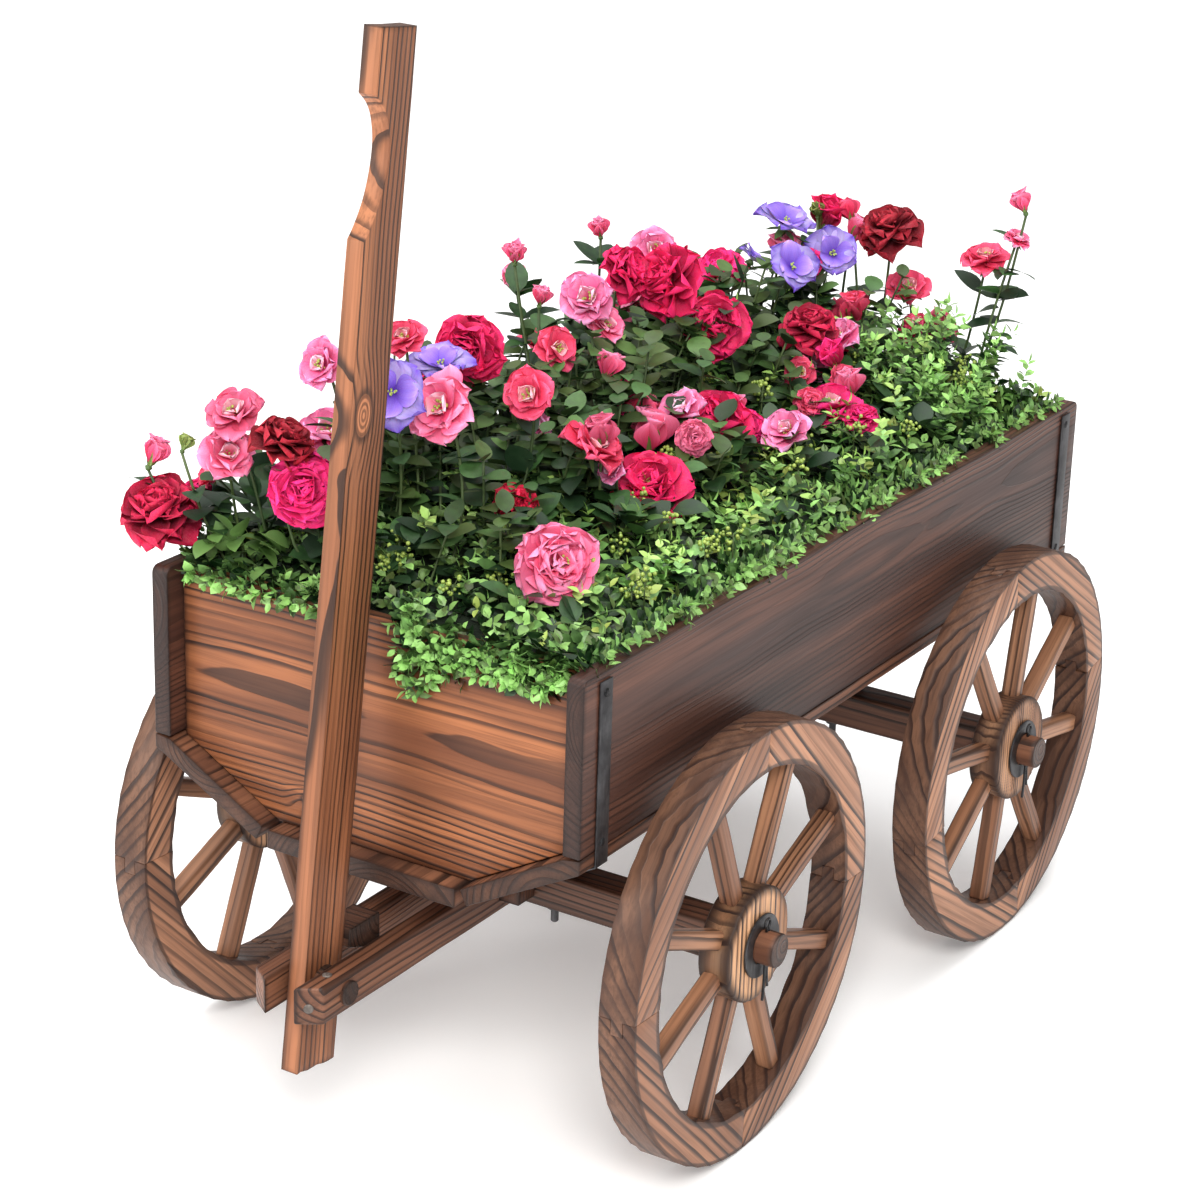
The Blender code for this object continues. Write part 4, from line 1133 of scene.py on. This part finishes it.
# The inner colour, at each petal's root, is darker: partly the petal's own deeper base, partly painted
# shade deep in the bloom.
COLORS = {  # (inner, outer) petal colours
    "wine": (srgb(84, 0, 24), srgb(212, 8, 72)), "dark": (srgb(64, 0, 12), srgb(172, 8, 40)),
    "magenta": (srgb(168, 0, 62), srgb(255, 34, 132)), "crimson": (srgb(148, 0, 48), srgb(250, 22, 106)),
    "red": (srgb(140, 0, 32), srgb(240, 12, 72)), "pink": (srgb(240, 44, 110), srgb(255, 150, 188)),
    "rosepink": (srgb(196, 44, 92), srgb(240, 122, 158)), "coral": (srgb(212, 16, 74), srgb(252, 92, 132)),
    "pinkw": (srgb(222, 20, 110), srgb(255, 168, 214)), "violet": (srgb(92, 44, 190), srgb(190, 160, 255)),
    "green": (srgb(110, 132, 60), srgb(140, 156, 84))}

# x, y, z of each bloom in metres, its radius, kind and colour. Most rows were read
# off the photo by eye and turned into metres by a helper program; ten were placed or
# changed by hand.
BLOOMS = [
    (-.188, -.300, .426, .0270, "rose", "wine"), (-.083, -.297, .496, .0215, "rose", "dark"),
    (-.066, -.297, .468, .0240, "rose", "magenta"), (-.126, -.295, .508, .0190, "open", "rosepink"),
    (-.133, -.294, .478, .0185, "open", "pink"), (-.061, -.282, .552, .0165, "open", "pinkw"),
    (-.050, -.128, .530, .0240, "rose", "crimson"), (-.031, -.245, .530, .0215, "violet", "violet"),
    (-.049, -.166, .524, .0200, "violet", "violet"), (-.009, -.217, .516, .0240, "open", "pink"),
    (.021, -.157, .516, .0185, "open", "coral"), (.050, -.126, .474, .0220, "open", "coral"),
    (.062, -.064, .430, .0290, "rose", "crimson"), (.090, -.230, .430, .0290, "rose", "pink"),
    (.021, -.175, .440, .0160, "rose", "red"), (.001, -.140, .486, .0100, "bud", "magenta"),
    (.050, .046, .446, .0280, "rose", "crimson"), (.040, .014, .464, .0180, "open", "pinkw"),
    (.090, .083, .440, .0180, "open", "pinkw"), (.080, .168, .434, .0215, "open", "magenta"),
    (.081, .199, .438, .0110, "bud", "pink"), (-.059, .088, .536, .0210, "rose", "crimson"),
    (-.031, .109, .530, .0280, "rose", "crimson"), (-.008, .139, .492, .0245, "rose", "crimson"),
    (-.069, .054, .520, .0205, "open", "pinkw"), (-.071, .150, .538, .0170, "open", "pinkw"),
    (-.019, .000, .482, .0110, "bud", "pink"), (.030, .221, .476, .0235, "rose", "wine"),
    (.042, .247, .462, .0200, "open", "pinkw"), (.042, .187, .452, .0120, "open", "coral"),
    (-.049, .315, .528, .0225, "violet", "violet"), (-.019, .274, .506, .0200, "violet", "violet"),
    (-.048, .263, .510, .0140, "violet", "violet"), (-.009, .324, .508, .0200, "violet", "violet"),
    (-.021, .306, .504, .0115, "rose", "magenta"), (.015, .377, .520, .0255, "rose", "dark"),
    (.035, .380, .474, .0180, "open", "coral"), (.103, .375, .510, .0195, "open", "coral"),
    (.062, .376, .446, .0170, "open", "rosepink"), (.134, .376, .556, .0090, "bud", "pink"),
    (-.200, -.297, .458, .0105, "bud", "pink"), (-.172, -.295, .474, .0060, "bud", "green"),
    (-.111, .017, .550, .0090, "bud", "pink"), (-.102, .121, .550, .0080, "bud", "pink"),
    (-.021, .378, .524, .0095, "bud", "coral"), (-.042, .358, .528, .0065, "bud", "green"),
    (-.060, -.193, .548, .0155, "open", "coral"), (-.079, .003, .526, .0080, "bud", "pink"),
    (-.039, -.036, .508, .0160, "open", "coral"), (.049, .082, .446, .0090, "bud", "pink"),
    (-.120, -.060, .470, .0230, "rose", "crimson"), (-.125, .200, .480, .0220, "open", "pink"),
    (-.110, .320, .475, .0230, "rose", "magenta"), (-.130, .090, .465, .0200, "open", "coral"),
    (-.135, -.180, .462, .0210, "open", "pinkw")]


class Blossoms:
    """Collects petals into one mesh, with a colour for each vertex."""

    def __init__(self):
        self.co, self.faces, self.tint, self.vein = [], [], [], []

    def petal(self, origin, axis, radial, opening, length, width, inner, outer, rng,
              cup, curl, frill):
        """A petal from its root at origin; opening is its angle from the bloom's axis."""
        nu, nv = 8, 10
        d = (axis * math.cos(opening) + radial * math.sin(opening)).normalized()
        side = axis.cross(radial).normalized()
        n = side.cross(d).normalized()
        if n.dot(axis) < 0:
            n = -n
        base = len(self.co)
        phase = rng.uniform(0, 6.28)
        shade = rng.uniform(0.80, 1.12)
        notch = rng.uniform(0.0, 0.10)
        for i in range(nu + 1):
            s = 1 - (1 - i / nu) ** 1.35
            if s < 0.62:
                share = 0.12 + 0.88 * math.sin(0.5 * math.pi * s / 0.62) ** 1.2
            else:
                share = 0.14 + 0.86 * max(0.0, math.cos(0.5 * math.pi * (s - 0.62) / 0.38)) ** 0.5
            half = 0.5 * width * share
            for j in range(nv + 1):
                t = -1 + 2 * j / nv
                edge = (1 - 0.10 * s * t * t - notch * s * (1 - abs(t)) ** 2)
                lift = cup * half * t * t - curl * length * max(0.0, s - 0.35) ** 2
                lift += frill * length * s * s * (math.sin(3.3 * t + phase)
                                                  + 0.35 * math.sin(8.0 * t + 2 * phase))
                self.co.append(origin + d * (length * s * edge) + side * (half * t) + n * lift)
                # The tint runs from the inner colour at the root (partly painted shade deep in the bloom)
                # to the outer colour. The tip is lightened further as a painted highlight on the petal
                # edge.
                share = min(1.0, s ** 1.3 * (0.9 + 0.1 * math.cos(9 * t + phase)))
                rim = 0.20 * max(0.0, s - 0.80) / 0.20
                self.tint.append([min(1.0, (a + (b - a) * share) * shade + rim * b)
                                  for a, b in zip(inner, outer)] + [1.0])
                self.vein.append((t, s + phase, 0.0))
        for i in range(nu):
            for j in range(nv):
                a = base + i * (nv + 1) + j
                self.faces.append((a, a + 1, a + nv + 2, a + nv + 1))

    def piece(self, name):
        mesh = bpy.data.meshes.new(name)
        mesh.from_pydata([tuple(c) for c in self.co], [], self.faces)
        layer = mesh.color_attributes.new("tint", "FLOAT_COLOR", "POINT")
        layer.data.foreach_set("color", np.asarray(self.tint, np.float32).ravel())
        set_vectors(mesh, "vein", self.vein)
        for poly in mesh.polygons:
            poly.use_smooth = True
        return add_piece(name, mesh, PETALS, "planting", "foliage")


def bloom(petals, hearts, green, rng, p, axis, radius, kind, color):
    inner, outer = COLORS[color]
    side = axis.orthogonal().normalized()
    up = axis.cross(side)

    def ring(count, opening, length, width, start, lift, cup, curl, frill,
             inner=inner, outer=outer):
        for k in range(count):
            a = start + 2 * math.pi * k / count + rng.uniform(-0.14, 0.14)
            radial = math.cos(a) * side + math.sin(a) * up
            petals.petal(p + axis * lift, axis, radial, opening + rng.uniform(-0.22, 0.20),
                         length * rng.uniform(0.84, 1.08), width * rng.uniform(0.95, 1.25),
                         inner, outer, rng, cup, curl, frill)

    R = radius
    if kind == "rose":
        ring(7, 1.62, R * 1.02, R * 1.10, 0.0, -0.10 * R, cup=0.35, curl=0.25, frill=0.13)
        ring(7, 1.32, R * 0.98, R * 1.05, 0.45, -0.02 * R, cup=0.45, curl=0.35, frill=0.14)
        ring(6, 1.00, R * 0.86, R * 0.98, 0.1, 0.02 * R, cup=0.6, curl=0.35, frill=0.14)
        ring(6, 0.72, R * 0.74, R * 0.86, 0.6, 0.04 * R, cup=0.8, curl=0.3, frill=0.15)
        ring(5, 0.44, R * 0.62, R * 0.74, 0.2, 0.05 * R, cup=1.0, curl=0.2, frill=0.14)
        ring(3, 0.18, R * 0.52, R * 0.56, 0.9, 0.06 * R, cup=1.3, curl=0.1, frill=0.10)
        if color == "pink":
            for _ in range(16):
                hearts.ball(p + axis * R * rng.uniform(0.3, 0.45)
                            + (side * rng.uniform(-1, 1) + up * rng.uniform(-1, 1)) * R * 0.16,
                            R * 0.035, 0.9, 0.8)
    elif kind == "open":
        ring(6, 1.38, R * 1.05, R * 1.05, 0.0, 0.0, cup=0.35, curl=0.15, frill=0.10)
        ring(6, 1.02, R * 0.88, R * 0.92, 0.5, 0.02 * R, cup=0.5, curl=0.15, frill=0.12)
        ring(4, 0.62, R * 0.55, R * 0.60, 0.2, 0.03 * R, cup=0.7, curl=0.1, frill=0.12,
             outer=tuple(0.5 * c + 0.5 for c in outer))
        for _ in range(22):
            off = random_unit(rng)
            hearts.ball(p + axis * R * rng.uniform(0.16, 0.34)
                        + (off - axis * off.dot(axis)) * R * 0.20, R * 0.045, 0.9, 0.95)
    elif kind == "violet":
        ring(6, 1.22, R * 1.15, R * 1.02, 0.0, 0.0, cup=0.25, curl=0.30, frill=0.08,
             inner=tuple(0.45 * c + 0.5 for c in outer), outer=inner)
        ring(3, 0.95, R * 0.95, R * 0.85, 0.5, 0.02 * R, cup=0.3, curl=0.2, frill=0.08)
        for _ in range(12):
            hearts.ball(p + axis * R * rng.uniform(0.1, 0.3)
                        + (side * rng.uniform(-1, 1) + up * rng.uniform(-1, 1)) * R * 0.10,
                        R * 0.04, 0.9, 0.9)
    else:
        ring(5, 0.28, R * 1.9, R * 1.25, 0.0, 0.0, cup=1.3, curl=0.45, frill=0.03)
        ring(3, 0.12, R * 1.7, R * 1.00, 0.5, 0.1 * R, cup=1.4, curl=0.30, frill=0.03)
        for k in range(5):
            a = 2 * math.pi * k / 5
            radial = math.cos(a) * side + math.sin(a) * up
            green.leaf(p - axis * R * 0.25, (axis + radial * 0.55).normalized(),
                       (axis * 0.3 - radial).normalized(), R * 1.5, R * 0.55, 0.7, 0.35,
                       0.3, -0.15, 3)
    if kind != "bud":
        for k in range(5):
            a = 2 * math.pi * k / 5 + 0.3
            radial = math.cos(a) * side + math.sin(a) * up
            green.leaf(p - axis * R * 0.12, (radial - axis * 0.25).normalized(), axis,
                       R * 0.62, R * 0.24, 0.5, 0.1, 0.2, 0.1, 2)
    green.ball(p - axis * R * 0.16, R * 0.17 + 0.0008, 0.5, 0.1)


def filler_blooms(rng):
    """Small blooms near those of the table and a little lower."""
    filler = []
    for _ in range(34):
        x, y, z = BLOOMS[rng.randrange(10, 50)][:3]
        x += rng.uniform(-0.05, 0.035)
        y = clamp(y + rng.uniform(-0.05, 0.06), Y0 + 0.05, Y1 - 0.01)
        z = max(canopy(x, y) + 0.016, z - rng.uniform(0.006, 0.045))
        filler.append((x, y, z, rng.uniform(0.0085, 0.0165),
                       rng.choice(("open", "rose", "open", "bud")),
                       rng.choice(("pink", "coral", "pinkw", "crimson", "magenta", "rosepink"))))
    return filler


def broad_leaf(green, rng, at, d, size, turn, width, bright, yellow=0.0):
    """A rose leaf; turn is how far its face strays, width and bright are ranges."""
    green.leaf(at, d, (Z + random_unit(rng) * turn).normalized(), size,
               size * rng.uniform(*width), rng.uniform(*bright),
               yellow * rng.random() if yellow else 0.0,
               rng.uniform(0.05, 0.25), rng.uniform(0.05, 0.4), 5)


def leafy_stem(stems, green, rng, x, y, p, axis, r):
    """The stem from a bloom at p down into the greenery, with its leaves."""
    rx = clamp(x * 0.82 + rng.uniform(-0.02, 0.02), -BED_X + 0.012, BED_X - 0.012)
    ry = clamp(y + rng.uniform(-0.025, 0.025), Y0 + 0.012, Y1 - 0.012)
    root = Vector((rx, ry, canopy(rx, ry) - 0.020))
    start = p - axis * r * 0.25
    path = []
    for k in range(9):
        t = k / 8
        path.append(start.lerp(root, t) - axis * math.sin(math.pi * t) * min(0.018, r * 0.9))
    stems.stem(path, 0.0011, rng.uniform(0.2, 0.8))
    tall = (p - root).length
    for _ in range(int(3 + tall / 0.024)):
        t = rng.uniform(0.15, 0.75)
        at = path[int(t * 8)]
        out = random_unit(rng)
        out.z = abs(out.z) * 0.4 + 0.1
        size = rng.uniform(0.018, 0.030)
        d = out.normalized()
        if abs(at.x + d.x * size) < 0.02 and at.y + d.y * size < Y0 + 0.004:
            continue
        broad_leaf(green, rng, at, d, size, 0.45, (0.58, 0.78), (0.0, 0.65))


def leaf_clusters(green, rng):
    """Three to five broad leaves together, all over the bed."""
    for _ in range(130):
        x = rng.uniform(-BED_X + 0.02, BED_X - 0.02)
        y = rng.uniform(Y0 + 0.02, Y1 - 0.02)
        at = Vector((x, y, canopy(x, y) + rng.uniform(-0.006, 0.012)))
        turn = rng.uniform(0, 6.28)
        for k in range(rng.randint(3, 5)):
            a = turn + k * 2.1
            d = Vector((math.cos(a), math.sin(a), rng.uniform(0.2, 1.0))).normalized()
            size = rng.uniform(0.018, 0.029)
            broad_leaf(green, rng, at + d * 0.004, d, size, 0.4, (0.55, 0.75), (0.0, 0.7))


def leafy_shoots(green, stems, rng):
    """Upright shoots; the later ones are taller, and keep left and off the front."""
    low_ones = 95
    for i in range(205):
        x = rng.uniform(-BED_X + 0.02, 0.09 if i < low_ones else 0.02)
        y = rng.uniform(Y0 + (0.03 if i < low_ones else 0.10), Y1 - 0.03)
        root = Vector((x, y, canopy(x, y) - 0.015))
        lean = Vector((rng.uniform(-0.35, 0.35), rng.uniform(-0.15, 0.30), 1.0)).normalized()
        tall = rng.uniform(0.040, 0.085) * (1.0 if x < 0.03 else 0.65)
        if i >= low_ones:
            tall = rng.uniform(0.060, 0.105)
        path = [root + lean * (tall * k / 6) + Vector((0, 0, -0.06 * (tall * k / 6) ** 2 / tall))
                for k in range(7)]
        stems.stem(path, 0.0009, rng.uniform(0.2, 0.7))
        for k in range(2, 7):
            for flip in range(2):
                a = k * 1.9 + flip * math.pi + rng.uniform(-0.4, 0.4)
                d = Vector((math.cos(a), math.sin(a), rng.uniform(0.1, 0.8))).normalized()
                size = rng.uniform(0.015, 0.026)
                broad_leaf(green, rng, path[k], d, size, 0.5, (0.55, 0.75), (0.0, 0.75), 0.15)


def front_corner_leaves(green, rng):
    """Bright leaves over the left end of the front board."""
    for _ in range(26):
        at = Vector((rng.uniform(-0.155, -0.085), Y0 + rng.uniform(-0.006, 0.020),
                     RIM_Z + rng.uniform(0.004, 0.030)))
        d = Vector((rng.uniform(-0.8, 0.8), rng.uniform(-1.0, -0.1), rng.uniform(-0.2, 0.9)))
        size = rng.uniform(0.016, 0.024)
        green.leaf(at, d.normalized(), (Z + random_unit(rng) * 0.5).normalized(), size,
                   size * rng.uniform(0.60, 0.78), rng.uniform(0.7, 1.0), 0.15,
                   0.2, rng.uniform(0.1, 0.4), 5)


def berry_sprays(berries, stems, rng):
    for _ in range(60):
        x = rng.uniform(-BED_X + 0.015, BED_X - 0.010)
        y = rng.uniform(Y0 + 0.012, Y1 - 0.02)
        at = Vector((x, y, canopy(x, y) + rng.uniform(0.004, 0.022)))
        low = Vector((x, y, canopy(x, y) - 0.012))
        stems.stem([low, low.lerp(at, 0.5), at], 0.0006, 0.7)
        for k in range(16):
            off = random_unit(rng) * rng.uniform(0.003, 0.010)
            berries.ball(at + off, rng.uniform(0.0012, 0.0019), rng.uniform(0.3, 1.0), 0.2)
            if k % 2 == 0:
                stems.stem([at - Z * 0.003, at + off * 0.6, at + off], 0.0003, 0.8)


def build_blooms():
    rng = random.Random(23)
    petals = {"left": Blossoms(), "right": Blossoms()}
    hearts, green, stems, berries = Blades(), Blades(), Blades(), Blades()
    facing = Vector((0.45, -0.72, 0.62))
    swell = 1.12
    for x, y, z, r, kind, color in BLOOMS + filler_blooms(rng):
        p = Vector((x, y, z))
        axis = (facing * rng.uniform(0.5, 1.1) + Z * 0.45 + random_unit(rng) * 0.75
                + Vector((x * 2.0, 0, 0)))
        if kind == "bud":
            axis = Z + random_unit(rng) * 0.45
        axis = axis.normalized()
        r *= swell
        bloom(petals["left" if x < -0.02 else "right"], hearts, green, rng, p, axis, r, kind,
              color)
        leafy_stem(stems, green, rng, x, y, p, axis, r)
    leaf_clusters(green, rng)
    leafy_shoots(green, stems, rng)
    front_corner_leaves(green, rng)
    berry_sprays(berries, stems, rng)
    for word, made in petals.items():
        made.piece(f"petals_{word}")
    hearts.piece("flower_hearts", BERRIES)
    green.piece("rose_leaves", ROSE_LEAVES)
    stems.piece("flower_stems", STEMS)
    berries.piece("berry_sprays", BERRIES)


# ---- studio ---------------------------------------------------------------
def area(name, where, target, size, power, color=(1, 1, 1)):
    data = bpy.data.lights.new(name, "AREA")
    data.shape = "RECTANGLE"
    data.size, data.size_y = size
    data.energy, data.color = power, color
    obj = bpy.data.objects.new(name, data)
    obj.location = where
    obj.rotation_euler = (Vector(target) - Vector(where)).to_track_quat("-Z", "Y").to_euler()
    bpy.context.scene.collection.objects.link(obj)


def build_studio():
    g = Graph("floor_look")
    tone = g.noise(g.coords(), 3.0, 2.0)
    mat = g.finish(g.mix(g.smooth(tone, 0.2, 0.8), (0.92, 0.92, 0.92), (0.95, 0.95, 0.95)), 0.85,
                   Emission_Strength=0.18)
    bm = bmesh.new()
    bmesh.ops.create_grid(bm, x_segments=2, y_segments=2, size=14.0)
    mesh = bpy.data.meshes.new("floor")
    bm.to_mesh(mesh)
    bm.free()
    mesh.materials.append(mat)
    floor = bpy.data.objects.new("floor", mesh)
    bpy.context.scene.collection.objects.link(floor)
    world = bpy.data.worlds.new("studio")
    bpy.context.scene.world = world
    world.use_nodes = True
    world.node_tree.nodes["Background"].inputs[0].default_value = (1, 1, 1, 1)
    world.node_tree.nodes["Background"].inputs[1].default_value = 0.50
    aim = (0, 0, 0.25)
    area("key", (1.5, -2.2, 2.3), aim, (1.0, 1.0), 72, (1.0, 0.98, 0.95))
    area("left", (-1.6, -2.3, 1.3), aim, (1.2, 1.2), 34, (1.0, 0.97, 0.94))
    area("top", (-0.2, 0.5, 2.9), aim, (2.4, 2.4), 30)
    sun = bpy.data.lights.new("sky", "SUN")
    sun.energy, sun.angle = 1.7, math.radians(70)
    lamp = bpy.data.objects.new("sky", sun)
    lamp.rotation_euler = (math.radians(12), math.radians(-10), 0)
    bpy.context.scene.collection.objects.link(lamp)

    # The lens, the angles and the place come from a fit to the photo, worked out by
    # helper programs.
    cam = bpy.data.cameras.new("camera")
    cam.lens, cam.sensor_width, cam.sensor_fit = 96.05, 36.0, "HORIZONTAL"
    yaw, pitch, roll = 0.557, 0.3686, 0.0303
    fwd = Vector((-math.sin(yaw) * math.cos(pitch), math.cos(yaw) * math.cos(pitch),
                  -math.sin(pitch)))
    right = fwd.cross(Z).normalized()
    upward = right.cross(fwd)
    rolled_right = math.cos(roll) * right + math.sin(roll) * upward
    rolled_up = -math.sin(roll) * right + math.cos(roll) * upward
    obj = bpy.data.objects.new("camera", cam)
    place = Matrix((rolled_right, rolled_up, -fwd)).transposed().to_4x4()
    place.translation = Vector((1.16627, -1.73680 + FRONT_Y, 1.17318))
    obj.matrix_world = place
    bpy.context.scene.collection.objects.link(obj)
    bpy.context.scene.camera = obj
    bpy.context.scene.view_settings.view_transform = "Standard"


build_trough()
build_bands()
build_wheel_set()
build_gear()
build_handle()
build_core()
build_greenery()
build_blooms()
build_studio()
